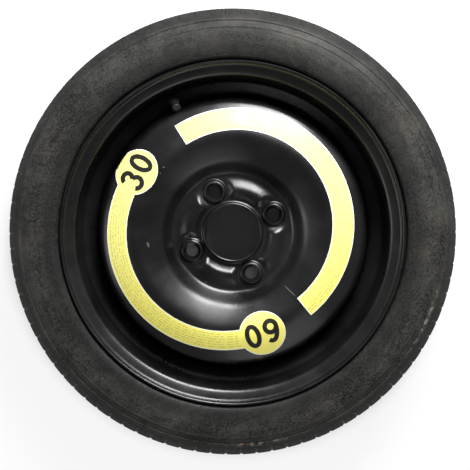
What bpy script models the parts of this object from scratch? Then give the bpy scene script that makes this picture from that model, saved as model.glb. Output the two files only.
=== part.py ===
"""Spare wheel of a car: a narrow temporary tyre on a pressed steel wheel.

The wheel lies flat with its street side up. The axis of the wheel is Z, and the origin is the
wheel's centre, halfway between the rim's flanges. The valve points to +Y, and one bolt hole lies
on each of +X, +Y, -X and -Y. Lengths are in metres.
"""

from math import atan2, cos, hypot, pi, radians, sin, tan

import bmesh
import bpy
from mathutils import Matrix, Vector

# Facets of the round pieces
WHEEL_STEPS = 36
SMALL_STEPS = 16
STICKER_STEPS = 24
WHEEL_STEP = 2 * pi / WHEEL_STEPS

# Shared fits
FIT_GAP = 0.0003
CUT_OVERRUN = 0.004
MERGE_DISTANCE = 0.00001
SHARP_ANGLE = radians(38)

# Rim: a rolled band of steel with a J flange on each side
SEAT_RADIUS = 0.1901
RIM_WIDTH = 0.0889
RIM_SHEET = 0.0027
FLANGE_HEIGHT = 0.0173
FLANGE_CURL_RADIUS = 0.0095
FLANGE_LIP_WIDTH = 0.0130
FLANGE_TIP_DROP = 0.0008
FLANGE_CURL_STEPS = 3
SEAT_FILLET_RADIUS = 0.0065
SEAT_WIDTH = 0.0200
SEAT_TAPER = radians(5)
WELL_DEPTH = 0.0221
WELL_RADIUS = SEAT_RADIUS - WELL_DEPTH
WELL_FRONT_Z = 0.0050
WELL_REAR_Z = -0.0145
WELL_SLOPE_RUN = 0.0172
WELL_FRONT_SLOPE = radians(25.5)
WELL_REAR_SLOPE = radians(23)

# Tyre
TYRE_RADIUS = 0.2710
SECTION_WIDTH = 0.1190
TREAD_WIDTH = 0.0740
CROWN_DROP = 0.0018
BEAD_WIDTH = 0.0175
CLINCH_GAP = 0.0015
CLINCH_RISE = 0.0061
WIDEST_INNER_RADIUS = 0.2220
WIDEST_OUTER_RADIUS = 0.2370
# Places on the upper sidewall, as shares of its run out to the tread's edge and of its drop there
SIDEWALL_SHARES = ((0.31, 0.115), (0.52, 0.30), (0.64, 0.41), (0.85, 0.71))
SIDEWALL_LINE_INDEX = 2
SIDEWALL_LINE_HEIGHT = 0.0010
SIDEWALL_THICKNESS = 0.0058
SHOULDER_THICKNESS = 0.0066
TREAD_THICKNESS = 0.0095
BEAD_APEX_HEIGHT = 0.0150
BEAD_APEX_THICKNESS = 0.0056
TREAD_GROOVE_OFFSET = 0.0125
TREAD_GROOVE_WIDTH = 0.0050
TREAD_GROOVE_DEPTH = 0.0042
SLOT_COUNT = 90
SLOT_WIDTH = 0.0030
SLOT_LENGTH = 0.0260
SLOT_DEPTH = 0.0029
SLOT_TILT = radians(24)

# Disc: one pressed sheet, from the collar round the bore to the flange inside the rim's well
DISC_SHEET = 0.0035
MOUNT_FACE_Z = 0.0235
BORE_RADIUS = 0.03255
COLLAR_HEIGHT = 0.0066
COLLAR_FILLET_RADIUS = 0.0030
RIB_HEIGHT = 0.0050
RIB_CREST_RADIUS = 0.0510
RIB_OUTER_RADIUS = 0.0680
RIB_CLEAR_RADIUS = 0.0150
RIB_FULL_RADIUS = 0.0240
VALLEY_RADIUS = 0.0708
VALLEY_FILLET = 0.0033
BOWL_WALL_RADIUS = 0.0860
CROWN_CREST_RADIUS = 0.1170
CROWN_CREST_Z = 0.0545
CROWN_EDGE_INSET = 0.0086
CROWN_EDGE_RADIUS = WELL_RADIUS - CROWN_EDGE_INSET
CROWN_EDGE_Z = 0.0350
# Rise from the nave's floor to the crest at the top of the wall, and along the bowl
BOWL_WALL_RISE_SHARE = 0.60
BOWL_SHARES = ((0.22, 0.29), (0.50, 0.61), (0.78, 0.88))
# Run from the crest to the edge, and the drop there
CROWN_SHARES = ((0.19, 0.06), (0.50, 0.325), (0.78, 0.635), (0.93, 0.815))
SKIRT_Z = 0.0145
SKIRT_INSET = 0.0065
SKIRT_RADIUS = WELL_RADIUS - SKIRT_INSET
DISC_FLANGE_TOP_Z = 0.0035
DISC_FLANGE_END_Z = -0.0100
POCKET_BULGE = 0.0018
POCKET_HALF_ANGLE = radians(14)

# Bolt holes: four raised cones on a 108 mm circle
BOLT_COUNT = 4
BOLT_CIRCLE_RADIUS = 0.0540
BOSS_HEIGHT = 0.0045
BOSS_FOOT_RADIUS = 0.0150
BOSS_SIDE_RADIUS = 0.0138
BOSS_CREST_RADIUS = 0.0119
BOSS_SIDE_DROP = 0.0016
SEAT_TOP_RADIUS = 0.0104
SEAT_HALF_ANGLE = radians(30)
BOLT_HOLE_RADIUS = 0.0072
DIMPLE_OUTER_RADIUS = 0.0134
DIMPLE_TOP_RADIUS = 0.0112
DIMPLE_INNER_RADIUS = 0.0088
DIMPLE_HEIGHT = 0.0042
DIMPLE_LIP_HEIGHT = 0.0010

# Weld beads between the disc's flange and the rim's well
WELDS_PER_QUARTER = 2
WELD_LEG = 0.0034
WELD_COLUMNS = 2
WELD_PLACE_SHARES = (0.2, 0.6)

# Valve: rubber body, brass stem, core and cap. Heights are above the rim's face at its seat
VALVE_PLACE_SHARE = 0.605
VALVE_HOLE_RADIUS = 0.00565
VALVE_FOOT_RADIUS = 0.0074
VALVE_FOOT_HEIGHT = 0.0022
VALVE_WAIST_RADIUS = 0.0059
VALVE_WAIST_HEIGHT = 0.0065
VALVE_NECK_RADIUS = 0.0046
VALVE_NECK_HEIGHT = 0.0150
VALVE_HEAD_RADIUS = 0.0082
VALVE_HEAD_DEPTH = 0.0046
VALVE_HEAD_TIP_RADIUS = 0.0050
VALVE_HEAD_SIDE_SHARE = 0.5
STEM_SHANK_RADIUS = 0.0026
STEM_THREAD_RADIUS = 0.00385
STEM_THREAD_LENGTH = 0.0087
STEM_CHAMFER = 0.0006
CORE_BORE_RADIUS = 0.00275
AIR_BORE_RADIUS = 0.0019
CORE_SEAT_DEPTH = 0.0105
CORE_SEAT_LENGTH = 0.0020
CORE_TOP_DEPTH = 0.0010
CORE_HEAD_LENGTH = 0.0055
CORE_HEAD_BORE_RADIUS = 0.0016
CORE_TUBE_RADIUS = 0.00115
CORE_TUBE_BORE_RADIUS = 0.0008
CORE_TUBE_LENGTH = 0.0095
CORE_SEAL_LENGTH = 0.0026
PIN_RADIUS = 0.00045
PIN_HEAD_RADIUS = 0.0010
PIN_HEAD_LENGTH = 0.0006
PIN_SEAL_RADIUS = 0.0014
PIN_SEAL_LENGTH = 0.0018
SPRING_RADIUS = 0.00105
SPRING_WIRE_RADIUS = 0.00015
SPRING_TURNS = 4
SPRING_POINTS_PER_TURN = 8
CAP_WALL = 0.0008
CAP_TOP = 0.0016
CAP_CHAMFER = 0.0011

# Stickers on the crown. Centres and angles are in the wheel's own plane
STICKER_THICKNESS = 0.0003
NUMBERED_CENTRE_X = -0.01075
NUMBERED_CENTRE_Y = 0.0034
NUMBERED_EDGE_INSET = 0.03155
NUMBERED_MIDDLE_RADIUS = CROWN_EDGE_RADIUS - NUMBERED_EDGE_INSET
NUMBERED_WIDTH = 0.0239
NUMBERED_START = radians(120.1)
NUMBERED_END = radians(267.3)
NUMBERED_DISC_RADIUS = 0.0282
# How much shorter each round end looks along the wheel's radius, because it lies on a slope
NUMBERED_DISC_SHARES = (0.88, 0.95)
PLAIN_CENTRE_X = 0.00955
PLAIN_CENTRE_Y = 0.0070
PLAIN_EDGE_INSET = 0.03255
PLAIN_MIDDLE_RADIUS = CROWN_EDGE_RADIUS - PLAIN_EDGE_INSET
PLAIN_WIDTH = 0.0267
PLAIN_START = radians(-75.2)
PLAIN_END = radians(98.4)


def clear_scene():
    """Remove what the scene holds."""
    for item in list(bpy.data.objects):
        bpy.data.objects.remove(item, do_unlink=True)


def new_collection(name):
    """Make a collection in the scene."""
    collection = bpy.data.collections.new(name)
    bpy.context.scene.collection.children.link(collection)
    return collection


def new_material(name, colour, roughness, metallic=0.0, coat=0.0):
    """Make a Principled material of one colour."""
    material = bpy.data.materials.new(name)
    material.use_nodes = True
    shader = material.node_tree.nodes["Principled BSDF"]
    shader.inputs["Base Color"].default_value = (*colour, 1.0)
    shader.inputs["Roughness"].default_value = roughness
    shader.inputs["Metallic"].default_value = metallic
    shader.inputs["Coat Weight"].default_value = coat
    material.diffuse_color = (*colour, 1.0)
    return material


def smooth_step(low, high, value):
    """Go smoothly from 0 at low to 1 at high."""
    share = min(max((value - low) / (high - low), 0.0), 1.0)
    return share * share * (3 - 2 * share)


def between(first, second, share):
    """Find the point that lies a share of the way from first to second."""
    return tuple(a + share * (b - a) for a, b in zip(first, second))


def on_arc(centre, radius, angle):
    """Find a point of a section on an arc, with the angle counted from the radius towards Z."""
    return centre[0] + radius * cos(angle), centre[1] + radius * sin(angle)


def offset_line(points, distance):
    """Move an open line of a section to its right-hand side by a distance, with mitred corners."""
    normals = []
    for start, end in zip(points, points[1:]):
        run, rise = end[0] - start[0], end[1] - start[1]
        length = hypot(run, rise)
        normals.append((rise / length, -run / length))
    moved = []
    for index, point in enumerate(points):
        before = normals[max(index - 1, 0)]
        after = normals[min(index, len(normals) - 1)]
        reach = distance / (1 + before[0] * after[0] + before[1] * after[1])
        moved.append((point[0] + (before[0] + after[0]) * reach, point[1] + (before[1] + after[1]) * reach))
    return moved


def link(name, mesh, collection, material=None, parent=None):
    """Make an object from a mesh, in a collection and perhaps on a parent."""
    item = bpy.data.objects.new(name, mesh)
    collection.objects.link(item)
    if material:
        mesh.materials.append(material)
    if parent:
        item.parent = parent
    return item


def turned(name, section, collection, steps, closed=True, material=None, parent=None):
    """Turn a section round Z. It runs down its outer side, and its first facet faces +X."""
    phase = -pi / steps
    points = [(radius * cos(phase), radius * sin(phase), z) for radius, z in section]
    edges = [(index, index + 1) for index in range(len(points) - 1)]
    if closed:
        edges.append((len(points) - 1, 0))
    mesh = bpy.data.meshes.new(name)
    mesh.from_pydata(points, edges, [])
    item = link(name, mesh, collection, material, parent)
    screw = item.modifiers.new("Turn", "SCREW")
    screw.axis = "Z"
    screw.angle = 2 * pi
    screw.steps = steps
    screw.render_steps = steps
    screw.use_merge_vertices = True
    screw.merge_threshold = MERGE_DISTANCE
    return item


def swept(name, section, start, sweep, steps, collection, material=None):
    """Sweep a closed section round Z through part of a turn, with flat ends."""
    shape = bmesh.new()
    corners = [shape.verts.new((radius * cos(start), radius * sin(start), z)) for radius, z in section]
    face = shape.faces.new(corners)
    parts = [face, *face.edges, *face.verts]
    bmesh.ops.spin(shape, geom=parts, cent=(0, 0, 0), axis=(0, 0, 1), angle=sweep, steps=steps)
    bmesh.ops.recalc_face_normals(shape, faces=shape.faces)
    mesh = bpy.data.meshes.new(name)
    shape.to_mesh(mesh)
    shape.free()
    return link(name, mesh, collection, material)


def as_cutter(item):
    """Mark an object as a tool that shapes others and isn't a piece of the wheel."""
    item.hide_render = True
    item.display_type = "WIRE"
    return item


def add_boolean(item, tool, operation):
    """Cut, join or trim an object by a tool."""
    modifier = item.modifiers.new(tool.name, "BOOLEAN")
    modifier.operation = operation
    modifier.solver = "EXACT"
    modifier.object = tool


def settle(item):
    """Turn an object's modifiers into plain mesh and shade it smooth between its sharp edges."""
    bpy.context.view_layer.update()
    graph = bpy.context.evaluated_depsgraph_get()
    mesh = bpy.data.meshes.new_from_object(item.evaluated_get(graph))
    item.modifiers.clear()
    item.data = mesh
    mesh.name = item.name
    mesh.shade_smooth()
    mesh.set_sharp_from_angle(angle=SHARP_ANGLE)


def flange_line(side):
    """Give the tyre side of one flange, from its tip to the start of the bead seat."""
    wall_z = RIM_WIDTH / 2
    curl_centre = (SEAT_RADIUS + FLANGE_HEIGHT - FLANGE_CURL_RADIUS, wall_z + FLANGE_CURL_RADIUS)
    fillet_centre = (SEAT_RADIUS + SEAT_FILLET_RADIUS, wall_z - SEAT_FILLET_RADIUS)
    line = [(SEAT_RADIUS + FLANGE_HEIGHT - FLANGE_TIP_DROP, wall_z + FLANGE_LIP_WIDTH)]
    for index in range(FLANGE_CURL_STEPS + 1):
        line.append(on_arc(curl_centre, FLANGE_CURL_RADIUS, -pi / 2 * index / FLANGE_CURL_STEPS))
    line.append(on_arc(fillet_centre, SEAT_FILLET_RADIUS, 3 * pi / 4))
    line.append((SEAT_RADIUS, fillet_centre[1]))
    return [(radius, side * z) for radius, z in line]


def seat_radius_at(z):
    """Give the bead seat's radius at a height, which falls towards the well."""
    start_z = RIM_WIDTH / 2 - SEAT_FILLET_RADIUS
    return SEAT_RADIUS - max(start_z - abs(z), 0.0) * tan(SEAT_TAPER)


def rim_tyre_side():
    """Give the side of the rim that the tyre and its air meet, from the street side down."""
    seat_end_z = RIM_WIDTH / 2 - SEAT_WIDTH
    front_rise = WELL_SLOPE_RUN * tan(WELL_FRONT_SLOPE)
    rear_rise = WELL_SLOPE_RUN * tan(WELL_REAR_SLOPE)
    well = [
        (seat_radius_at(seat_end_z), seat_end_z),
        (WELL_RADIUS + WELL_SLOPE_RUN, WELL_FRONT_Z + front_rise),
        (WELL_RADIUS, WELL_FRONT_Z),
        (WELL_RADIUS, WELL_REAR_Z),
        (WELL_RADIUS + WELL_SLOPE_RUN, WELL_REAR_Z - rear_rise),
        (seat_radius_at(seat_end_z), -seat_end_z),
    ]
    return flange_line(1) + well + flange_line(-1)[::-1]


def rim_axle_side():
    """Give the side of the rim that faces the axle."""
    return offset_line(rim_tyre_side(), RIM_SHEET)


def well_corner_index():
    """Find the well's front corner among the points of the rim's section."""
    return len(flange_line(1)) + 2


def well_inner_radius():
    """Give the radius inside the well, where the disc is pressed in."""
    return rim_axle_side()[well_corner_index() + 1][0]


def valve_seat():
    """Find the middle of the valve's seat on the well's front slope, and how far its axis leans."""
    line = rim_axle_side()
    corner = line[well_corner_index()]
    top = line[well_corner_index() - 1]
    place = between(corner, top, VALVE_PLACE_SHARE)
    facet = cos(WHEEL_STEP / 2)
    lean = atan2(top[1] - corner[1], (top[0] - corner[0]) * facet)
    return place[0] * facet, place[1], lean


def make_valve_frame(collection):
    """Make the empty that stands on the rim at the valve, with its Z along the valve."""
    radius, z, lean = valve_seat()
    frame = bpy.data.objects.new("valve_axis", None)
    collection.objects.link(frame)
    frame.location = (0, radius, z)
    frame.rotation_euler = (lean, 0, 0)
    return frame


def make_rim(parts, cutters, frame, paint):
    """Roll the rim and pierce it for the valve."""
    section = rim_tyre_side() + rim_axle_side()[::-1]
    rim = turned("wheel_rim", section, parts, WHEEL_STEPS, material=paint)
    reach = RIM_SHEET + CUT_OVERRUN
    hole = [(0, reach), (VALVE_HOLE_RADIUS, reach), (VALVE_HOLE_RADIUS, -reach), (0, -reach)]
    drill = as_cutter(turned("valve_drill", hole, cutters, SMALL_STEPS, closed=False, parent=frame))
    add_boolean(rim, drill, "DIFFERENCE")
    return rim


def crown_radius_at(z):
    """Give the tread's radius at a height, which falls a little towards its edges."""
    return TYRE_RADIUS - CROWN_DROP * (2 * z / TREAD_WIDTH) ** 2


def bead_line():
    """Give the tyre's bead where it sits on the rim, from its toe to where it leaves the flange."""
    wall_z = RIM_WIDTH / 2
    curl_centre = (SEAT_RADIUS + FLANGE_HEIGHT - FLANGE_CURL_RADIUS, wall_z + FLANGE_CURL_RADIUS)
    toe_z = wall_z - BEAD_WIDTH
    leave = on_arc(curl_centre, FLANGE_CURL_RADIUS + FIT_GAP, -pi / 2 * (1 - 1 / FLANGE_CURL_STEPS))
    return [
        (seat_radius_at(toe_z) + FIT_GAP, toe_z),
        (SEAT_RADIUS + FIT_GAP, wall_z - SEAT_FILLET_RADIUS),
        (curl_centre[0], wall_z - FIT_GAP),
        leave,
        (SEAT_RADIUS + FLANGE_HEIGHT + CLINCH_GAP, wall_z + CLINCH_RISE),
    ]


def sidewall_line():
    """Give the sidewall from the flange to the tread's edge, with its raised line."""
    clinch = bead_line()[-1]
    half = SECTION_WIDTH / 2
    centre = (WIDEST_INNER_RADIUS, clinch[1])
    share = cos(pi / 4)
    lower = (centre[0] - share * (centre[0] - clinch[0]), centre[1] + share * (half - centre[1]))
    edge = (crown_radius_at(TREAD_WIDTH / 2), TREAD_WIDTH / 2)
    upper = []
    for run_share, drop_share in SIDEWALL_SHARES:
        radius = WIDEST_OUTER_RADIUS + run_share * (edge[0] - WIDEST_OUTER_RADIUS)
        upper.append((radius, half - drop_share * (half - edge[1])))
    foot, far_foot = upper[SIDEWALL_LINE_INDEX - 1], upper[SIDEWALL_LINE_INDEX]
    crest = offset_line([foot, between(foot, far_foot, 0.5), far_foot], -SIDEWALL_LINE_HEIGHT)[1]
    upper.insert(SIDEWALL_LINE_INDEX, crest)
    return [lower, (WIDEST_INNER_RADIUS, half), (WIDEST_OUTER_RADIUS, half)] + upper + [edge]


def groove_line(middle):
    """Give one groove round the tread, from its street side down."""
    half = TREAD_GROOVE_WIDTH / 2
    return [
        (crown_radius_at(middle + half), middle + half),
        (crown_radius_at(middle) - TREAD_GROOVE_DEPTH, middle),
        (crown_radius_at(middle - half), middle - half),
    ]


def liner_line(side):
    """Give the inner face of one half of the tyre, from its bead to its tread."""
    half = SECTION_WIDTH / 2
    middle = between((WIDEST_INNER_RADIUS, half), (WIDEST_OUTER_RADIUS, half), 0.5)
    line = sidewall_line()
    shoulder = line.index((WIDEST_OUTER_RADIUS, half)) + SIDEWALL_LINE_INDEX
    points = [
        (SEAT_RADIUS + BEAD_APEX_HEIGHT, RIM_WIDTH / 2 - BEAD_APEX_THICKNESS),
        (middle[0], half - SIDEWALL_THICKNESS),
        offset_line(line[shoulder - 1:shoulder + 2], SHOULDER_THICKNESS)[0],
        (TYRE_RADIUS - TREAD_THICKNESS, TREAD_WIDTH / 2 - TREAD_THICKNESS),
    ]
    return [(radius, side * z) for radius, z in points]


def slot_matrix(angle, side):
    """Place one slot across the tread's edge, with X outward and Z along the slot."""
    edge = (crown_radius_at(TREAD_WIDTH / 2), side * TREAD_WIDTH / 2)
    place = Matrix.Translation((edge[0], 0, edge[1]))
    return Matrix.Rotation(angle, 4, "Z") @ place @ Matrix.Rotation(-side * SLOT_TILT, 4, "Y")


def add_wedge(shape, place):
    """Add the wedge that cuts one slot, with its edge along the slot's bottom."""
    widening = (SLOT_DEPTH + CUT_OVERRUN) / SLOT_DEPTH
    half_width = SLOT_WIDTH / 2 * widening
    section = [(-SLOT_DEPTH, 0), (CUT_OVERRUN, half_width), (CUT_OVERRUN, -half_width)]
    ends = []
    for z in (-SLOT_LENGTH / 2, SLOT_LENGTH / 2):
        ends.append([shape.verts.new(place @ Vector((x, y, z))) for x, y in section])
    shape.faces.new(ends[0])
    shape.faces.new(ends[1])
    for index in range(len(section)):
        after = (index + 1) % len(section)
        shape.faces.new((ends[0][index], ends[0][after], ends[1][after], ends[1][index]))


def make_slot_cutter(cutters):
    """Make the wedges that cut the slots along both edges of the tread."""
    shape = bmesh.new()
    for index in range(SLOT_COUNT):
        angle = 2 * pi * index / SLOT_COUNT
        add_wedge(shape, slot_matrix(angle, 1))
        add_wedge(shape, slot_matrix(angle, -1))
    bmesh.ops.recalc_face_normals(shape, faces=shape.faces)
    mesh = bpy.data.meshes.new("tread_slots")
    shape.to_mesh(mesh)
    shape.free()
    return as_cutter(link("tread_slots", mesh, cutters))


def make_tyre(parts, cutters, rubber):
    """Mould the tyre as one hollow body that is open between its beads."""
    front = bead_line() + sidewall_line()
    rear = [(radius, -z) for radius, z in reversed(front)]
    tread = groove_line(TREAD_GROOVE_OFFSET) + groove_line(-TREAD_GROOVE_OFFSET)
    section = front + tread + rear + liner_line(-1) + liner_line(1)[::-1]
    tyre = turned("tyre", section, parts, WHEEL_STEPS, material=rubber)
    add_boolean(tyre, make_slot_cutter(cutters), "DIFFERENCE")
    return tyre


def nave_floor_z():
    """Give the height of the nave's front face between its ribs."""
    return MOUNT_FACE_Z + DISC_SHEET


def collar_line():
    """Give the front face of the collar round the bore, down to the nave's floor."""
    outer = BORE_RADIUS + DISC_SHEET
    centre = (outer + COLLAR_FILLET_RADIUS, nave_floor_z() + COLLAR_FILLET_RADIUS)
    return [
        (outer, nave_floor_z() + COLLAR_HEIGHT),
        (outer, centre[1]),
        on_arc(centre, COLLAR_FILLET_RADIUS, -3 * pi / 4),
        (centre[0], nave_floor_z()),
    ]


def nave_line():
    """Give the nave's floor, with the rows of points that the ribs rise on."""
    start = collar_line()[-1][0]
    radii = [
        (start + RIB_CREST_RADIUS) / 2,
        RIB_CREST_RADIUS,
        (RIB_CREST_RADIUS + RIB_OUTER_RADIUS) / 2,
        RIB_OUTER_RADIUS,
        VALLEY_RADIUS,
    ]
    return [(radius, nave_floor_z()) for radius in radii]


def bowl_line():
    """Give the wall and the bowl, from the valley up to the crown's crest."""
    floor = nave_floor_z()
    crest = (CROWN_CREST_RADIUS, CROWN_CREST_Z)
    wall_top = (BOWL_WALL_RADIUS, floor + BOWL_WALL_RISE_SHARE * (crest[1] - floor))
    bowl = []
    for run_share, rise_share in BOWL_SHARES:
        radius = wall_top[0] + run_share * (crest[0] - wall_top[0])
        bowl.append((radius, wall_top[1] + rise_share * (crest[1] - wall_top[1])))
    fillet = (VALLEY_RADIUS + VALLEY_FILLET, floor + VALLEY_FILLET * tan(pi / 6))
    return [fillet, wall_top] + bowl + [crest]


def crown_line():
    """Give the crown from its crest down to its outer edge."""
    crest = (CROWN_CREST_RADIUS, CROWN_CREST_Z)
    edge = (CROWN_EDGE_RADIUS, CROWN_EDGE_Z)
    line = []
    for run_share, drop_share in CROWN_SHARES:
        radius = crest[0] + run_share * (edge[0] - crest[0])
        line.append((radius, crest[1] - drop_share * (crest[1] - edge[1])))
    return line + [edge]


def skirt_line():
    """Give the skirt behind the crown's edge and the flange in the rim's well."""
    outer = well_inner_radius() - FIT_GAP
    return [
        (SKIRT_RADIUS, SKIRT_Z),
        (outer, DISC_FLANGE_TOP_Z),
        (outer, DISC_FLANGE_END_Z),
    ]


def disc_front_line():
    """Give the whole front face of the disc, from the collar's top to the flange's end."""
    return collar_line() + nave_line() + bowl_line() + crown_line() + skirt_line()


def nearest_bolt_angle(angle):
    """Give the angle to the nearest bolt hole, between minus and plus half a spacing."""
    spacing = 2 * pi / BOLT_COUNT
    return (angle + spacing / 2) % spacing - spacing / 2


def rib_lift(radius, angle):
    """Give how far the ribs lift the sheet at a place, nothing beside the bolt holes."""
    start = collar_line()[-1][0]
    if radius <= start or radius >= RIB_OUTER_RADIUS:
        return 0.0
    if radius < RIB_CREST_RADIUS:
        share = (radius - start) / (RIB_CREST_RADIUS - start)
    else:
        share = (RIB_OUTER_RADIUS - radius) / (RIB_OUTER_RADIUS - RIB_CREST_RADIUS)
    turn = nearest_bolt_angle(angle)
    away = hypot(radius * cos(turn) - BOLT_CIRCLE_RADIUS, radius * sin(turn))
    return RIB_HEIGHT * (1 - cos(pi * share)) / 2 * smooth_step(RIB_CLEAR_RADIUS, RIB_FULL_RADIUS, away)


def pocket_push(radius, angle):
    """Give how far the socket pockets push the wall outwards at a place."""
    if radius < RIB_OUTER_RADIUS or radius > BOWL_WALL_RADIUS:
        return 0.0
    turn = abs(nearest_bolt_angle(angle))
    fade = smooth_step(BOWL_WALL_RADIUS, VALLEY_RADIUS, radius)
    return POCKET_BULGE * fade * smooth_step(POCKET_HALF_ANGLE, 0, turn)


def press_nave(disc):
    """Press the ribs and the pockets into the turned disc, alike on both faces."""
    for vertex in disc.data.vertices:
        radius = hypot(vertex.co.x, vertex.co.y)
        angle = atan2(vertex.co.y, vertex.co.x)
        vertex.co.z += rib_lift(radius, angle)
        pushed = radius + pocket_push(radius, angle)
        vertex.co.x *= pushed / radius
        vertex.co.y *= pushed / radius


def bolt_ring(name, section, collection, closed):
    """Turn one section into a tool at each bolt hole, all in one object."""
    single = turned(name, section, collection, SMALL_STEPS, closed=closed)
    settle(single)
    shape = bmesh.new()
    for index in range(BOLT_COUNT):
        start = len(shape.verts)
        shape.from_mesh(single.data)
        angle = 2 * pi * index / BOLT_COUNT
        move = Matrix.Rotation(angle, 4, "Z") @ Matrix.Translation((BOLT_CIRCLE_RADIUS, 0, 0))
        shape.verts.ensure_lookup_table()
        bmesh.ops.transform(shape, matrix=move, verts=shape.verts[start:])
    shape.to_mesh(single.data)
    shape.free()
    return as_cutter(single)


def make_disc(parts, cutters, paint):
    """Press the disc, raise a boss at each bolt hole and pierce it."""
    front = disc_front_line()
    back = offset_line(front, DISC_SHEET)
    collar_top = ((front[0][0] + back[0][0]) / 2, front[0][1] + COLLAR_FILLET_RADIUS / 3)
    section = [collar_top] + front + back[::-1]
    disc = turned("wheel_disc", section, parts, WHEEL_STEPS, material=paint)
    settle(disc)
    press_nave(disc)

    floor = nave_floor_z()
    top = floor + BOSS_HEIGHT
    root = floor - DISC_SHEET / 2
    boss = [
        (0, top),
        (BOSS_CREST_RADIUS, top),
        (BOSS_SIDE_RADIUS, top - BOSS_SIDE_DROP),
        (BOSS_FOOT_RADIUS, floor),
        (BOSS_FOOT_RADIUS, root),
        (0, root),
    ]
    add_boolean(disc, bolt_ring("bolt_bosses", boss, cutters, closed=False), "UNION")

    below = MOUNT_FACE_Z - CUT_OVERRUN
    dimple = [
        (DIMPLE_TOP_RADIUS, MOUNT_FACE_Z + DIMPLE_HEIGHT),
        (DIMPLE_OUTER_RADIUS, MOUNT_FACE_Z),
        (DIMPLE_OUTER_RADIUS, below),
        (DIMPLE_INNER_RADIUS, below),
        (DIMPLE_INNER_RADIUS, MOUNT_FACE_Z + DIMPLE_LIP_HEIGHT),
    ]
    add_boolean(disc, bolt_ring("boss_dimples", dimple, cutters, closed=True), "DIFFERENCE")

    cone_depth = (SEAT_TOP_RADIUS - BOLT_HOLE_RADIUS) / tan(SEAT_HALF_ANGLE)
    above = top + CUT_OVERRUN
    hole = [
        (0, above),
        (SEAT_TOP_RADIUS + CUT_OVERRUN * tan(SEAT_HALF_ANGLE), above),
        (BOLT_HOLE_RADIUS, top - cone_depth),
        (BOLT_HOLE_RADIUS, below),
        (0, below),
    ]
    add_boolean(disc, bolt_ring("bolt_holes", hole, cutters, closed=False), "DIFFERENCE")
    return disc


def make_welds(parts, steel):
    """Lay the weld beads in the corner behind the disc's flange."""
    corner = (well_inner_radius() - FIT_GAP, DISC_FLANGE_END_Z - FIT_GAP)
    section = [corner, (corner[0], corner[1] - WELD_LEG), (corner[0] - WELD_LEG, corner[1])]
    columns = WHEEL_STEPS // BOLT_COUNT
    welds = []
    for quarter in range(BOLT_COUNT):
        for share in WELD_PLACE_SHARES[:WELDS_PER_QUARTER]:
            column = quarter * columns + round(share * columns)
            start = (column + 0.5) * WHEEL_STEP
            name = f"disc_weld_{len(welds) + 1}"
            sweep = WELD_COLUMNS * WHEEL_STEP
            welds.append(swept(name, section, start, sweep, WELD_COLUMNS, parts, steel))
    return welds


def stem_top():
    """Give the height of the stem's open end above the rim's face."""
    return VALVE_NECK_HEIGHT + FIT_GAP + STEM_THREAD_LENGTH


def make_valve_body(parts, frame, rubber):
    """Mould the rubber body that snaps into the rim and holds the stem."""
    neck = VALVE_HOLE_RADIUS - FIT_GAP
    bore = STEM_SHANK_RADIUS + FIT_GAP
    head_top = -RIM_SHEET - FIT_GAP
    head_end = head_top - VALVE_HEAD_DEPTH
    section = [
        (VALVE_NECK_RADIUS, VALVE_NECK_HEIGHT),
        (VALVE_WAIST_RADIUS, VALVE_WAIST_HEIGHT),
        (VALVE_FOOT_RADIUS, VALVE_FOOT_HEIGHT),
        (VALVE_FOOT_RADIUS, FIT_GAP),
        (neck, FIT_GAP),
        (neck, head_top),
        (VALVE_HEAD_RADIUS, head_top),
        (VALVE_HEAD_RADIUS, head_top - VALVE_HEAD_SIDE_SHARE * VALVE_HEAD_DEPTH),
        (VALVE_HEAD_TIP_RADIUS, head_end),
        (bore, head_end),
        (bore, VALVE_NECK_HEIGHT),
    ]
    return turned("valve_body", section, parts, SMALL_STEPS, material=rubber, parent=frame)


def core_seat_z():
    """Give the height of the narrow end of the seat that the valve core is screwed down on."""
    return stem_top() - CORE_SEAT_DEPTH


def make_valve_stem(parts, frame, brass):
    """Turn the brass stem, with its threaded end, the core's bore and the air bore."""
    top = stem_top()
    shoulder = VALVE_NECK_HEIGHT + FIT_GAP
    end = -RIM_SHEET - FIT_GAP - VALVE_HEAD_DEPTH
    section = [
        (CORE_BORE_RADIUS, top),
        (STEM_THREAD_RADIUS - STEM_CHAMFER, top),
        (STEM_THREAD_RADIUS, top - STEM_CHAMFER),
        (STEM_THREAD_RADIUS, shoulder),
        (STEM_SHANK_RADIUS, shoulder),
        (STEM_SHANK_RADIUS, end),
        (AIR_BORE_RADIUS, end),
        (AIR_BORE_RADIUS, core_seat_z()),
        (CORE_BORE_RADIUS, core_seat_z() + CORE_SEAT_LENGTH),
    ]
    return turned("valve_stem", section, parts, SMALL_STEPS, material=brass, parent=frame)


def core_ledge_z():
    """Give the height of the ledge in the core that the spring stands on."""
    return stem_top() - CORE_TOP_DEPTH - CORE_HEAD_LENGTH


def make_core_barrel(parts, frame, brass):
    """Turn the core's barrel: a wide head that holds the spring, and a narrow tube."""
    top = stem_top() - CORE_TOP_DEPTH
    head_end = core_ledge_z() - FIT_GAP - CORE_HEAD_BORE_RADIUS / 2
    end = core_ledge_z() - CORE_TUBE_LENGTH
    head = CORE_BORE_RADIUS - FIT_GAP
    section = [
        (CORE_HEAD_BORE_RADIUS, top),
        (head, top),
        (head, head_end),
        (CORE_TUBE_RADIUS, head_end),
        (CORE_TUBE_RADIUS, end),
        (CORE_TUBE_BORE_RADIUS, end),
        (CORE_TUBE_BORE_RADIUS, core_ledge_z()),
        (CORE_HEAD_BORE_RADIUS, core_ledge_z()),
    ]
    return turned("valve_core_barrel", section, parts, SMALL_STEPS, material=brass, parent=frame)


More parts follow.
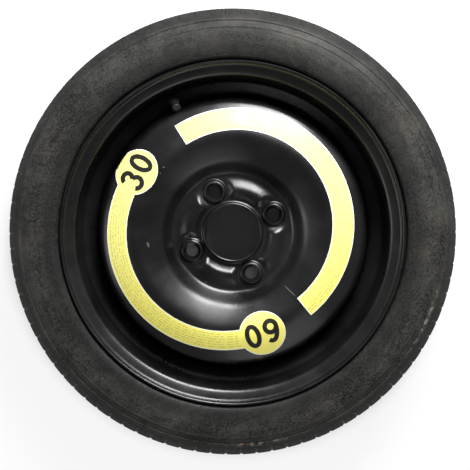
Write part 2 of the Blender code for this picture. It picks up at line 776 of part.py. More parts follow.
def make_core_seal(parts, frame, seal):
    """Make the cone that the core's barrel presses on its seat in the stem."""
    bore = CORE_TUBE_RADIUS + FIT_GAP
    slope = (CORE_BORE_RADIUS - AIR_BORE_RADIUS) / CORE_SEAT_LENGTH
    low = core_seat_z() + FIT_GAP
    shoulder = core_seat_z() + CORE_SEAT_LENGTH
    high = low + CORE_SEAL_LENGTH
    section = [
        (bore, high),
        (CORE_BORE_RADIUS - FIT_GAP, high),
        (CORE_BORE_RADIUS - FIT_GAP, shoulder),
        (AIR_BORE_RADIUS + slope * FIT_GAP - FIT_GAP, low),
        (bore, low),
    ]
    return turned("valve_core_seal", section, parts, SMALL_STEPS, material=seal, parent=frame)


def pin_head_z():
    """Give the height of the underside of the pin's head, with the valve shut."""
    return stem_top() - CORE_TOP_DEPTH - PIN_HEAD_LENGTH


def make_core_pin(parts, frame, brass):
    """Turn the pin that a gauge or pump pushes in, with its flat head."""
    end = core_ledge_z() - CORE_TUBE_LENGTH - FIT_GAP - PIN_SEAL_LENGTH
    head = pin_head_z()
    section = [
        (0, head + PIN_HEAD_LENGTH),
        (PIN_HEAD_RADIUS, head + PIN_HEAD_LENGTH),
        (PIN_HEAD_RADIUS, head),
        (PIN_RADIUS, head),
        (PIN_RADIUS, end),
        (0, end),
    ]
    return turned("valve_core_pin", section, parts, SMALL_STEPS, closed=False, material=brass, parent=frame)


def make_pin_seal(parts, frame, seal):
    """Make the rubber cup on the pin that shuts the lower end of the barrel."""
    top = core_ledge_z() - CORE_TUBE_LENGTH - FIT_GAP
    bore = PIN_RADIUS + FIT_GAP
    section = [
        (PIN_SEAL_RADIUS, top),
        (PIN_SEAL_RADIUS, top - PIN_SEAL_LENGTH),
        (bore, top - PIN_SEAL_LENGTH),
        (bore, top),
    ]
    return turned("valve_pin_seal", section, parts, SMALL_STEPS, material=seal, parent=frame)


def make_core_spring(parts, frame, steel):
    """Wind the spring that holds the pin up, from the core's ledge to the pin's head."""
    low = core_ledge_z() + FIT_GAP + SPRING_WIRE_RADIUS
    high = pin_head_z() - FIT_GAP - SPRING_WIRE_RADIUS
    count = SPRING_TURNS * SPRING_POINTS_PER_TURN
    curve = bpy.data.curves.new("valve_core_spring", "CURVE")
    curve.dimensions = "3D"
    curve.bevel_depth = SPRING_WIRE_RADIUS
    curve.bevel_resolution = 1
    curve.use_fill_caps = True
    spline = curve.splines.new("POLY")
    spline.points.add(count)
    for index, point in enumerate(spline.points):
        angle = 2 * pi * index / SPRING_POINTS_PER_TURN
        height = low + (high - low) * index / count
        point.co = (SPRING_RADIUS * cos(angle), SPRING_RADIUS * sin(angle), height, 1)
    curve.materials.append(steel)
    spring = bpy.data.objects.new("valve_core_spring", curve)
    spring.parent = frame
    parts.objects.link(spring)
    return spring


def make_valve_cap(parts, frame, plastic):
    """Mould the cap that screws over the stem's end."""
    bore = STEM_THREAD_RADIUS + FIT_GAP
    outer = bore + CAP_WALL
    ceiling = stem_top() + FIT_GAP
    top = ceiling + CAP_TOP
    foot = VALVE_NECK_HEIGHT + FIT_GAP
    section = [
        (0, top),
        (outer - CAP_CHAMFER, top),
        (outer, top - CAP_CHAMFER),
        (outer, foot),
        (bore, foot),
        (bore, ceiling),
        (0, ceiling),
    ]
    return turned("valve_cap", section, parts, SMALL_STEPS, closed=False, material=plastic, parent=frame)


def make_sticker_skin(name, parts, film):
    """Make a thin ring that lies all round the bowl and the crown, for a sticker to be cut from."""
    front = disc_front_line()
    start = front.index(bowl_line()[1])
    line = front[start:len(front) - len(skirt_line())]
    under = offset_line(line, -FIT_GAP)
    upper = offset_line(line, -FIT_GAP - STICKER_THICKNESS)
    return turned(name, upper + under[::-1], parts, WHEEL_STEPS, material=film)


def band_radii(middle, width):
    """Give the inner and outer radius of a sticker's curved band."""
    return middle - width / 2, middle + width / 2


def sticker_prism(name, centre, radii, angles, cutters):
    """Make the upright block that gives a sticker's curved band its outline."""
    low, high = DISC_FLANGE_TOP_Z, CROWN_CREST_Z + CUT_OVERRUN
    section = [(radii[1], high), (radii[1], low), (radii[0], low), (radii[0], high)]
    sweep = angles[1] - angles[0]
    prism = swept(name, section, angles[0], sweep, STICKER_STEPS, cutters)
    prism.location = (*centre, 0)
    return as_cutter(prism)


def sticker_round_end(name, centre, radii, angle, squash, cutters):
    """Make the upright block of one round end, shortened along the wheel's radius."""
    middle = (radii[0] + radii[1]) / 2
    place = Vector((centre[0] + middle * cos(angle), centre[1] + middle * sin(angle), 0))
    low, high = DISC_FLANGE_TOP_Z + FIT_GAP, CROWN_CREST_Z + CUT_OVERRUN + FIT_GAP
    shape = bmesh.new()
    bmesh.ops.create_cone(
        shape,
        cap_ends=True,
        segments=STICKER_STEPS,
        radius1=NUMBERED_DISC_RADIUS,
        radius2=NUMBERED_DISC_RADIUS,
        depth=high - low,
        matrix=Matrix.Diagonal((squash, 1, 1, 1)),
    )
    mesh = bpy.data.meshes.new(name)
    shape.to_mesh(mesh)
    shape.free()
    end = link(name, mesh, cutters)
    end.location = (place.x, place.y, (low + high) / 2)
    end.rotation_euler = (0, 0, atan2(place.y, place.x))
    return as_cutter(end)


def make_numbered_sticker(parts, cutters, film):
    """Make the sticker with a round end for a number at each end of its band."""
    sticker = make_sticker_skin("sticker_numbered", parts, film)
    centre = (NUMBERED_CENTRE_X, NUMBERED_CENTRE_Y)
    radii = band_radii(NUMBERED_MIDDLE_RADIUS, NUMBERED_WIDTH)
    angles = (NUMBERED_START, NUMBERED_END)
    outline = sticker_prism("numbered_outline", centre, radii, angles, cutters)
    for index, angle in enumerate(angles):
        name = f"numbered_end_{index + 1}"
        end = sticker_round_end(name, centre, radii, angle, NUMBERED_DISC_SHARES[index], cutters)
        add_boolean(outline, end, "UNION")
    add_boolean(sticker, outline, "INTERSECT")
    return sticker


def make_plain_sticker(parts, cutters, film):
    """Make the sticker that is a plain curved band with straight ends."""
    sticker = make_sticker_skin("sticker_plain", parts, film)
    centre = (PLAIN_CENTRE_X, PLAIN_CENTRE_Y)
    radii = band_radii(PLAIN_MIDDLE_RADIUS, PLAIN_WIDTH)
    outline = sticker_prism("plain_outline", centre, radii, (PLAIN_START, PLAIN_END), cutters)
    add_boolean(sticker, outline, "INTERSECT")
    return sticker


def main():
    """Build the wheel."""
    clear_scene()
    parts = new_collection("spare_wheel")
    cutters = new_collection("cutters")
    paint = new_material("black_gloss_paint", (0.010, 0.010, 0.011), 0.22, coat=0.6)
    rubber = new_material("tyre_rubber", (0.040, 0.040, 0.040), 0.75)
    valve_rubber = new_material("valve_rubber", (0.020, 0.020, 0.020), 0.55)
    weld_steel = new_material("painted_weld", (0.014, 0.014, 0.015), 0.40)
    brass = new_material("valve_brass", (0.72, 0.50, 0.22), 0.30, metallic=1.0)
    spring_steel = new_material("spring_steel", (0.55, 0.55, 0.56), 0.30, metallic=1.0)
    seal = new_material("seal_rubber", (0.10, 0.02, 0.02), 0.60)
    cap_plastic = new_material("cap_plastic", (0.018, 0.018, 0.018), 0.40)
    film = new_material("sticker_film", (0.90, 0.85, 0.25), 0.35)

    frame = make_valve_frame(parts)
    turned_pieces = [
        make_tyre(parts, cutters, rubber),
        make_rim(parts, cutters, frame, paint),
        make_disc(parts, cutters, paint),
        make_valve_body(parts, frame, valve_rubber),
        make_valve_stem(parts, frame, brass),
        make_core_barrel(parts, frame, brass),
        make_core_seal(parts, frame, seal),
        make_core_pin(parts, frame, brass),
        make_pin_seal(parts, frame, seal),
        make_valve_cap(parts, frame, cap_plastic),
        make_numbered_sticker(parts, cutters, film),
        make_plain_sticker(parts, cutters, film),
    ]
    for piece in turned_pieces:
        settle(piece)
    make_core_spring(parts, frame, spring_steel)
    make_welds(parts, weld_steel)


main()
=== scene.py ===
"""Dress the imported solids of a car's spare wheel for a render.

The wheel lies flat with its street side up, so its axis is Z and the camera looks down on it. The
valve is at +Y. Lengths are in metres. Each sub-assembly is a class that makes its own meshes, in
the same places as the solids that they stand for, and each finish is a class that makes one
procedural material.
"""

import logging
from bisect import bisect_left
from dataclasses import dataclass, field
from enum import Enum
from functools import reduce
from math import atan2, cos, hypot, pi, radians, sin, tan
from typing import Callable, Iterable, Optional, Sequence

import bmesh
import bpy
from mathutils import Matrix, Vector


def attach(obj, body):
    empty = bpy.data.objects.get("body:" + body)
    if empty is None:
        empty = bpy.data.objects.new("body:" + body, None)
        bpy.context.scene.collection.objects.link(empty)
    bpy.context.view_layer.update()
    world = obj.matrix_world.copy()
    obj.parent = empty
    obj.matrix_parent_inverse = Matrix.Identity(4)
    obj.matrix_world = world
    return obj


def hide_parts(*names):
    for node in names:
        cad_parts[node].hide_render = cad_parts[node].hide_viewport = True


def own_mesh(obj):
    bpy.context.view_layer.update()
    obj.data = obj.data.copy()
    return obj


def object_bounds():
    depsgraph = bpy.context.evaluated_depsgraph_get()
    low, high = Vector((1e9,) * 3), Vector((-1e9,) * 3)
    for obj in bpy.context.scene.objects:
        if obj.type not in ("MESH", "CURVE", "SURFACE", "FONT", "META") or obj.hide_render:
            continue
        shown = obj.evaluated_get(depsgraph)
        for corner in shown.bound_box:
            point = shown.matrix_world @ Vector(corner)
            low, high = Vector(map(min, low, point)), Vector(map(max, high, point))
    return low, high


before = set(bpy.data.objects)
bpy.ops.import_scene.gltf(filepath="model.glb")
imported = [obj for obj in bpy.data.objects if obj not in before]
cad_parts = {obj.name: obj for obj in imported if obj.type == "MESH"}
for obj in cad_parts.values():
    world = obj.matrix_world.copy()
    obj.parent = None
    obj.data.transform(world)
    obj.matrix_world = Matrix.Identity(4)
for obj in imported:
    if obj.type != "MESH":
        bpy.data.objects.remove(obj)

LOG = logging.getLogger("spare_wheel")
CAD_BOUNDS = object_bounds()

FIT_GAP = 0.0003
MERGE_DISTANCE = 0.00002
ROUND_STEPS = 240
DISC_STEPS = 192
SMALL_STEPS = 48
NUMBER = "NodeSocketFloat"
VECTOR = "NodeSocketVector"
WHITE = (1.0, 1.0, 1.0, 1.0)

Point = tuple[float, float]
Place = tuple[float, float, float]
Socket = bpy.types.NodeSocket
Material = bpy.types.Material
Mesh = bpy.types.Mesh
Piece = bpy.types.Object
Form = Callable[[float, float, float], Point]


class Body(Enum):
    """The bodies that the pieces ride on."""

    WHEEL = "wheel"
    CAP = "cap"
    CORE_PIN = "core_pin"


class Edge(Enum):
    """How the end of a thin wall is finished."""

    SQUARE = 0.0
    EASED = 0.22
    ROUND = 0.5


class Cut(Enum):
    """What one mesh does to another."""

    ADD = "UNION"
    REMOVE = "DIFFERENCE"
    TRIM = "INTERSECT"


# Points and lines of a turned section


def smooth_step(low: float, high: float, value: float) -> float:
    """Go smoothly from 0 at low to 1 at high."""
    share = min(max((value - low) / (high - low), 0.0), 1.0)
    return share * share * (3 - 2 * share)


def between(first: Point, second: Point, share: float, rise_share: Optional[float] = None) -> Point:
    """Find the point that lies a share of the way from first to second.

    Args:
        first: Where the way starts.
        second: Where it ends.
        share: The share of the way, or of its run where rise_share is given.
        rise_share: The share of the rise.

    Returns:
        The point.
    """
    rise_share = share if rise_share is None else rise_share
    return first[0] + share * (second[0] - first[0]), first[1] + rise_share * (second[1] - first[1])


def on_arc(centre: Point, radius: float, angle: float) -> Point:
    """Find a point on an arc by its angle."""
    return centre[0] + radius * cos(angle), centre[1] + radius * sin(angle)


def round_axis(radius: float, z: float, angle: float) -> Place:
    """Find the place of a point of a section that is turned about Z."""
    return radius * cos(angle), radius * sin(angle), z


def steps_from(start: float, end: float, count: int) -> list[float]:
    """Give evenly spaced values, with both ends."""
    return [start + (end - start) * index / count for index in range(count + 1)]


def soften(points: Sequence[Point], rounds: int = 2) -> list[Point]:
    """Round an open line by cubic subdivision and keep its two ends.

    Args:
        points: The corners of the line.
        rounds: How many times the line is subdivided.

    Returns:
        The points of the smooth line.
    """
    line = list(points)
    for _ in range(rounds):
        finer = [line[0]]
        for before, here, after in zip(line, line[1:], line[2:]):
            finer += [between(before, here, 0.5), between(here, between(before, after, 0.5), 0.25)]
        line = finer + [between(line[-2], line[-1], 0.5), line[-1]]
    return line


def offset_line(points: Sequence[Point], distance: float) -> list[Point]:
    """Move an open line of a section to its right-hand side.

    Args:
        points: The line.
        distance: How far it moves. A negative distance moves it to the left.

    Returns:
        The moved line, with mitred corners.
    """
    normals = []
    for start, end in zip(points, points[1:]):
        run, rise = end[0] - start[0], end[1] - start[1]
        length = hypot(run, rise)
        normals.append((rise / length, -run / length))
    moved = []
    for point, before, after in zip(points, normals[:1] + normals, normals + normals[-1:]):
        reach = distance / (1 + before[0] * after[0] + before[1] * after[1])
        moved.append((point[0] + (before[0] + after[0]) * reach, point[1] + (before[1] + after[1]) * reach))
    return moved


def wall_end(first: Point, second: Point, edge: Edge, steps: int = 6) -> list[Point]:
    """Give the points that close the end of a thin wall, between its two sides.

    Args:
        first: Where the end starts.
        second: Where it ends, so that the bulge lies to the left of the way there.
        edge: How round the end is.
        steps: How many parts the end has.

    Returns:
        The points between first and second.
    """
    run, rise = second[0] - first[0], second[1] - first[1]
    points = []
    for index in range(1, steps):
        angle = pi * index / steps
        along, out = (1 - cos(angle)) / 2, edge.value * sin(angle)
        points.append((first[0] + run * along - rise * out, first[1] + rise * along + run * out))
    return points


def sheet_section(front: Sequence[Point], thickness: float, top: Edge, end: Edge) -> list[Point]:
    """Give the closed section of a pressed sheet.

    Args:
        front: The face that the sheet is measured from.
        thickness: The sheet's thickness, to the right of the front line.
        top: How the sheet's start is finished.
        end: How the sheet's end is finished.

    Returns:
        The closed section.
    """
    back = offset_line(front, thickness)[::-1]
    return list(front) + wall_end(front[-1], back[0], end) + back + wall_end(back[-1], front[0], top)


# Meshes


def link(item: Piece) -> Piece:
    """Put an object in the scene and give it back."""
    bpy.context.scene.collection.objects.link(item)
    return item


def new_piece(name: str, mesh: Mesh, finish: Material, sharp_angle: float = radians(32)) -> Piece:
    """Make an object from a mesh, in one finish and shaded smooth between its sharp edges.

    Args:
        name: The piece's name.
        mesh: Its mesh.
        finish: Its finish.
        sharp_angle: The angle between faces from which an edge is sharp.

    Returns:
        The new object.
    """
    mesh.name = name
    mesh.materials.clear()
    mesh.materials.append(finish)
    mesh.shade_smooth()
    mesh.set_sharp_from_angle(angle=sharp_angle)
    return link(bpy.data.objects.new(name, mesh))


def plain_mesh(shape: bmesh.types.BMesh) -> Mesh:
    """Turn a bmesh into a mesh and free it.

    Args:
        shape: The bmesh.

    Returns:
        The mesh.
    """
    mesh = bpy.data.meshes.new("shape")
    shape.to_mesh(mesh)
    shape.free()
    return mesh


def outward_mesh(shape: bmesh.types.BMesh) -> Mesh:
    """Merge a bmesh's doubles, turn its faces outwards and make it a mesh.

    Args:
        shape: The bmesh.

    Returns:
        The mesh.
    """
    bmesh.ops.remove_doubles(shape, verts=shape.verts, dist=MERGE_DISTANCE)
    bmesh.ops.recalc_face_normals(shape, faces=shape.faces)
    return plain_mesh(shape)


def join_meshes(meshes: Iterable[Mesh]) -> Mesh:
    """Join meshes into one, as they lie.

    Args:
        meshes: The meshes.

    Returns:
        The joined mesh.
    """
    shape = bmesh.new()
    for mesh in meshes:
        shape.from_mesh(mesh)
    return plain_mesh(shape)


def moved_copy(mesh: Mesh, place: Matrix) -> Mesh:
    """Copy a mesh to another place.

    Args:
        mesh: The mesh.
        place: Where the copy goes.

    Returns:
        The copy.
    """
    copy = mesh.copy()
    copy.transform(place)
    return copy


def skin_loops(loops: Sequence[Sequence[Place]], closed: bool = False, capped: bool = False) -> Mesh:
    """Join closed loops of points by faces, each loop to the next.

    Args:
        loops: The loops, with as many points each.
        closed: Whether the last loop joins the first.
        capped: Whether a face closes the first and the last loop.

    Returns:
        The mesh.
    """
    shape = bmesh.new()
    rings = [[shape.verts.new(place) for place in loop] for loop in loops]
    count = len(rings[0])
    for left, right in list(zip(rings, rings[1:])) + [(rings[-1], rings[0])] * closed:
        for row in range(count):
            lower = (row + 1) % count
            shape.faces.new((left[row], left[lower], right[lower], right[row]))
    if capped:
        shape.faces.new(rings[0])
        shape.faces.new(rings[-1][::-1])
    return outward_mesh(shape)


def sweep_section(
    section: Sequence[Point], angles: Sequence[float], form: Optional[Form] = None, closed: bool = False
) -> Mesh:
    """Sweep a closed section round Z through given angles.

    Args:
        section: The closed section, as radius and height.
        angles: The angle of each column.
        form: Gives the radius and height of a point from its radius, height and angle.
        closed: Whether the last column joins the first.

    Returns:
        The mesh. It is open at both ends where it isn't closed.
    """
    loops = []
    for angle in angles:
        column = [form(radius, z, angle) for radius, z in section] if form else section
        loops.append([round_axis(radius, z, angle) for radius, z in column])
    return skin_loops(loops, closed)


def turn_section(section: Sequence[Point], steps: int = SMALL_STEPS, form: Optional[Form] = None) -> Mesh:
    """Turn a closed section all the way round Z."""
    return sweep_section(section, steps_from(0, 2 * pi, steps)[:-1], form, closed=True)


def evaluated_mesh(item: Piece) -> Mesh:
    """Turn an object's modifiers into a plain mesh and remove the object.

    Args:
        item: The object, with its modifiers.

    Returns:
        The plain mesh.
    """
    bpy.context.view_layer.update()
    graph = bpy.context.evaluated_depsgraph_get()
    mesh = bpy.data.meshes.new_from_object(item.evaluated_get(graph))
    bpy.data.objects.remove(item, do_unlink=True)
    return mesh


def combine(base: Mesh, cut: Cut, tool: Mesh) -> Mesh:
    """Change one mesh by another.

    Args:
        base: The mesh to change.
        cut: What the tool does to it.
        tool: The mesh that changes it.

    Returns:
        The result.
    """
    item, cutter = (link(bpy.data.objects.new("shape", mesh)) for mesh in (base, tool))
    modifier = item.modifiers.new("combine", "BOOLEAN")
    modifier.operation = cut.value
    modifier.solver = "EXACT"
    modifier.object = cutter
    mesh = evaluated_mesh(item)
    bpy.data.objects.remove(cutter, do_unlink=True)
    return mesh


# Node trees


class NodeWriter:
    """Adds nodes to a tree and joins them."""

    def __init__(self, tree: bpy.types.NodeTree) -> None:
        """Keep the tree that the nodes go into."""
        self.tree = tree

    def join(self, value: object, target: Socket) -> None:
        """Join a socket to a target, or set the target to a value.

        Args:
            value: The socket or the value.
            target: The input that takes it.
        """
        if isinstance(value, bpy.types.NodeSocket):
            self.tree.links.new(value, target)
        else:
            target.default_value = value

    def fill(self, node: bpy.types.Node, **inputs: object) -> bpy.types.Node:
        """Join or set a node's inputs.

        Args:
            node: The node.
            inputs: A socket or a value for each input, by its name with _ for a space.

        Returns:
            The node.
        """
        for name, value in inputs.items():
            self.join(value, node.inputs[name.replace("_", " ")])
        return node

    def node(self, kind: str, settings: Optional[dict] = None, **inputs: object) -> bpy.types.Node:
        """Add a node.

        Args:
            kind: The node's type.
            settings: The value of each property that is set.
            inputs: A socket or a value for each input, by its name with _ for a space.

        Returns:
            The node.
        """
        node = self.tree.nodes.new(kind)
        for name, value in (settings or {}).items():
            setattr(node, name, value)
        return self.fill(node, **inputs)

    def in_order(self, kind: str, settings: dict, values: Sequence[object]) -> bpy.types.Node:
        """Add a node and fill its inputs in their order.

        Args:
            kind: The node's type.
            settings: The value of each property that is set.
            values: A socket or a value for each input.

        Returns:
            The node.
        """
        node = self.node(kind, settings)
        for value, target in zip(values, node.inputs):
            self.join(value, target)
        return node

    def math(self, operation: str, *values: object, clamp: bool = False) -> Socket:
        """Join up to three numbers by a Math node and give its result."""
        return self.in_order("ShaderNodeMath", {"operation": operation, "use_clamp": clamp}, values).outputs[0]

    def add_sockets(self, way: str, kinds: dict[str, str]) -> None:
        """Add the tree's named inputs or outputs, by the type of each."""
        for name, kind in kinds.items():
            self.tree.interface.new_socket(name, in_out=way, socket_type=kind)


class GeometryTree(NodeWriter):
    """A Geometry Nodes tree with named inputs that ends in one finish."""

    def __init__(self, name: str, inputs: dict[str, str]) -> None:
        """Start the tree.

        Args:
            name: The tree's name.
            inputs: The type of each named input.
        """
        super().__init__(bpy.data.node_groups.new(name, "GeometryNodeTree"))
        self.add_sockets("OUTPUT", {"Geometry": "NodeSocketGeometry"})
        self.add_sockets("INPUT", {**inputs, "Finish": "NodeSocketMaterial"})
        self.source = self.node("NodeGroupInput").outputs
        self.sink = self.node("NodeGroupOutput").inputs

    def close(self, geometry: Socket, merge: float) -> None:
        """End the tree in real geometry with its finish.

        Args:
            geometry: What the tree has made.
            merge: How near two points are merged.
        """
        real = self.node("GeometryNodeRealizeInstances", Geometry=geometry).outputs[0]
        merged = self.node("GeometryNodeMergeByDistance", Geometry=real, Distance=merge).outputs[0]
        dressed = self.node("GeometryNodeSetMaterial", Geometry=merged, Material=self.source["Finish"])
        self.join(dressed.outputs[0], self.sink[0])

    def make(self, mesh: Optional[Mesh], **values: object) -> Mesh:
        """Run the tree once and give its result as a plain mesh.

        Args:
            mesh: The mesh that the tree works on, if it takes one.
            values: The value of each named input, with _ for a space.

        Returns:
            The result.
        """
        item = link(bpy.data.objects.new("source", mesh or bpy.data.meshes.new("empty")))
        modifier = item.modifiers.new("nodes", "NODES")
        modifier.node_group = self.tree
        for socket in self.tree.interface.items_tree:
            value = values.get(socket.name.replace(" ", "_"))
            if socket.in_out == "INPUT" and value is not None:
                modifier[socket.identifier] = value
        return evaluated_mesh(item)


def build_ring_tree() -> GeometryTree:
    """Build the tree that repeats one sector all round the Z axis.

    Returns:
        The tree.
    """
    ring = GeometryTree("Repeat round axis", {"Geometry": "NodeSocketGeometry", "Count": "NodeSocketInt"})
    count = ring.source["Count"]
    points = ring.node("GeometryNodePoints", Count=count).outputs[0]
    index = ring.node("GeometryNodeInputIndex").outputs[0]
    angle = ring.math("MULTIPLY", index, ring.math("DIVIDE", 2 * pi, count))
    euler = ring.node("ShaderNodeCombineXYZ", Z=angle).outputs[0]
    turn = ring.node("FunctionNodeEulerToRotation", Euler=euler).outputs[0]
    sector = ring.source["Geometry"]
    placed = ring.node("GeometryNodeInstanceOnPoints", Points=points, Instance=sector, Rotation=turn)
    ring.close(placed.outputs[0], MERGE_DISTANCE)
    return ring


def build_coil_tree(steps_per_turn: int = 32, wire_sides: int = 10) -> GeometryTree:
    """Build the tree that winds a round wire up the Z axis from height zero.

    Args:
        steps_per_turn: How many points a turn has.
        wire_sides: How many sides the wire has.

    Returns:
        The tree.
    """
    coil = GeometryTree("Wind a coil", dict.fromkeys(("Radius", "Height", "Turns", "Wire Radius"), NUMBER))
    given = coil.source
    spiral = coil.node(
        "GeometryNodeCurveSpiral",
        Resolution=steps_per_turn,
        Rotations=given["Turns"],
        Start_Radius=given["Radius"],
        End_Radius=given["Radius"],
        Height=given["Height"],
    ).outputs[0]
    wire = coil.node("GeometryNodeCurvePrimitiveCircle", Resolution=wire_sides, Radius=given["Wire Radius"])
    tube = coil.node("GeometryNodeCurveToMesh", Curve=spiral, Profile_Curve=wire.outputs[0], Fill_Caps=True)
    coil.close(tube.outputs[0], MERGE_DISTANCE / 10)
    return coil


class ShaderTree(NodeWriter):
    """Adds nodes to a material or a shader group."""

    def vector(self, operation: str, *values: object) -> Socket:
        """Join vectors by a Vector Math node and give its vector, or its number where it makes one."""
        result = "Value" if operation in ("LENGTH", "DOT_PRODUCT") else "Vector"
        return self.in_order("ShaderNodeVectorMath", {"operation": operation}, values).outputs[result]

    def fold(self, operation: str, values: Iterable[object], clamp: bool = False) -> Socket:
        """Join any number of values by one kind of Math node."""
        return reduce(lambda first, second: self.math(operation, first, second, clamp=clamp), values)

    def weigh(self, start: float, *parts: tuple[Socket, float]) -> Socket:
        """Add values times their weights to a start, and keep the sum between 0 and 1.

        Args:
            start: What the sum starts from.
            parts: Each value and its weight.

        Returns:
            The sum.
        """
        total = start
        for index, (value, weight) in enumerate(parts, 1):
            total = self.math("MULTIPLY_ADD", value, weight, total, clamp=index == len(parts))
        return total

    def ramp(
        self, value: object, low: float, high: float, out_low: float = 0.0, out_high: float = 1.0
    ) -> Socket:
        """Map a value smoothly from one range to another."""
        settings = {"interpolation_type": "SMOOTHSTEP"}
        return self.in_order("ShaderNodeMapRange", settings, (value, low, high, out_low, out_high)).outputs[0]

    def mix(self, share: object, first: object, second: object) -> Socket:
        """Mix two colours by a share and give the result."""
        mixed = self.node("ShaderNodeMix", {"data_type": "RGBA"}, Factor=share, A=first, B=second)
        return mixed.outputs["Result"]

    def place(self) -> Socket:
        """Give the Object coordinates."""
        return self.node("ShaderNodeTexCoord").outputs["Object"]

    def flatten(self, place: Socket) -> Socket:
        """Move a place to the wheel's plane."""
        return self.vector("MULTIPLY", place, (1, 1, 0))

    def split(self, place: Socket) -> bpy.types.NodeOutputs:
        """Give the X, Y and Z of a place."""
        return self.node("ShaderNodeSeparateXYZ", Vector=place).outputs

    def seen_from(self, place: Socket, centre: object, angle: object) -> Socket:
        """Give a place as seen from a centre, and turned about Z by an angle.

        Args:
            place: The place.
            centre: The centre.
            angle: The angle.

        Returns:
            The place's new coordinates.
        """
        moved = self.vector("SUBTRACT", place, centre)
        turned = self.node("ShaderNodeVectorRotate", {"rotation_type": "Z_AXIS"}, Vector=moved, Angle=angle)
        return turned.outputs[0]


class ShaderGroup(ShaderTree):
    """A shader group with named inputs and outputs, for an effect that several finishes use."""

    def __init__(self, name: str, inputs: dict[str, str], outputs: dict[str, str]) -> None:
        """Start the group.

        Args:
            name: The group's name.
            inputs: The type of each named input.
            outputs: The type of each named output.
        """
        super().__init__(bpy.data.node_groups.new(name, "ShaderNodeTree"))
        self.add_sockets("INPUT", inputs)
        self.add_sockets("OUTPUT", outputs)
        self.source = self.node("NodeGroupInput").outputs
        self.sink = self.node("NodeGroupOutput")

    def use(self, shader: ShaderTree, **values: object) -> bpy.types.NodeOutputs:
        """Place the group in a tree, with a socket or a value for each input, and give its outputs."""
        return shader.node("ShaderNodeGroup", {"node_tree": self.tree}, **values).outputs


@dataclass(frozen=True)
class Grain:
    """A noise, and the range of it that shows."""

    scale: object
    detail: float
    roughness: float = 0.55
    low: float = 0.3
    high: float = 0.7

    def value(self, shader: ShaderTree, place: Socket) -> Socket:
        """Give the plain noise at a place."""
        shares = {"Scale": self.scale, "Detail": self.detail, "Roughness": self.roughness}
        return shader.node("ShaderNodeTexNoise", Vector=place, **shares).outputs["Fac"]

    def mask(self, shader: ShaderTree, place: Socket, out_low: float = 0.0, out_high: float = 1.0) -> Socket:
        """Give the noise at a place, spread smoothly from out_low to out_high."""
        return shader.ramp(self.value(shader, place), self.low, self.high, out_low, out_high)


# Effects and finishes


def build_dust_group() -> ShaderGroup:
    """Build the group that gives soft patches of dust and small specks.

    Returns:
        The group.
    """
    inputs = {"Vector": VECTOR, "Patch Scale": NUMBER, "Cover": NUMBER, "Specks": NUMBER}
    group = ShaderGroup("Dust", inputs, {"Mask": NUMBER})
    given = group.source
    patch_noise = Grain(given["Patch Scale"], 6, 0.62, 0.35, 0.75)
    speck_noise = Grain(70, 1, low=0.60, high=0.66)
    speck_cells, speck_edge = 240, (0.16, 0.08)
    patches = patch_noise.mask(group, given["Vector"])
    cells = group.node("ShaderNodeTexVoronoi", Vector=given["Vector"], Scale=speck_cells)
    spots = group.ramp(cells.outputs["Distance"], *speck_edge)
    picked = speck_noise.mask(group, given["Vector"])
    specks = group.fold("MULTIPLY", (spots, picked, given["Specks"]))
    cover = group.math("MULTIPLY", patches, given["Cover"])
    group.fill(group.sink, Mask=group.math("ADD", cover, specks, clamp=True))
    return group


def build_round_group() -> ShaderGroup:
    """Build the group that gives a point's distance from the axis and coordinates that run round it.

    Returns:
        The group.
    """
    outputs = {"Radius": NUMBER, "Angle": NUMBER, "Coordinates": VECTOR}
    group = ShaderGroup("Round the axis", {"Vector": VECTOR, "Stretch": NUMBER}, outputs)
    x, y, z = group.split(group.source["Vector"])
    flat = group.node("ShaderNodeCombineXYZ", X=x, Y=y).outputs[0]
    radius = group.vector("LENGTH", flat)
    direction = group.vector("NORMALIZE", flat)
    scaling = {"operation": "SCALE"}
    around = group.node("ShaderNodeVectorMath", scaling, Vector=direction, Scale=group.source["Stretch"])
    across, up, _ = group.split(around.outputs[0])
    rings = {"X": group.math("ADD", across, radius), "Y": up, "Z": group.math("ADD", z, radius)}
    coordinates = group.node("ShaderNodeCombineXYZ", **rings).outputs[0]
    group.fill(group.sink, Radius=radius, Angle=group.math("ARCTAN2", y, x), Coordinates=coordinates)
    return group


def build_streak_group() -> ShaderGroup:
    """Build the group that masks one straight streak or spot on the surface.

    Returns:
        The group.
    """
    inputs = {"Vector": VECTOR, "Centre": VECTOR, "Angle": NUMBER, "Length": NUMBER, "Width": NUMBER}
    group = ShaderGroup("Streak", inputs, {"Mask": NUMBER})
    given = group.source
    place = group.seen_from(given["Vector"], given["Centre"], group.math("MULTIPLY", given["Angle"], -1.0))
    soft_edge = (0.25, 0.06)
    squares = []
    for part, size in zip(group.split(place), (given["Length"], given["Width"])):
        share = group.math("DIVIDE", part, size)
        squares.append(group.math("MULTIPLY", share, share))
    group.fill(group.sink, Mask=group.ramp(group.math("ADD", *squares), *soft_edge))
    return group


@dataclass(frozen=True)
class PhotoFrame:
    """How the wheel lies in the photograph, for marks that are placed from it."""

    size: float = 470.0
    hub_column: float = 232.2
    hub_row: float = 231.2
    metres_per_pixel: float = 0.00120
    roll: float = radians(24.2)

    def on_wheel(self, column: float, row: float) -> Vector:
        """Find the place on the wheel, seen straight on, of a pixel of the photograph."""
        across, up = column - self.hub_column, self.hub_row - row
        return Matrix.Rotation(-self.roll, 3, "Z") @ Vector((across, up, 0)) * self.metres_per_pixel


@dataclass(frozen=True)
class Groups:
    """The shader groups that the finishes share, and the frame that places marks."""

    dust: ShaderGroup
    round: ShaderGroup
    streak: ShaderGroup
    photo: PhotoFrame


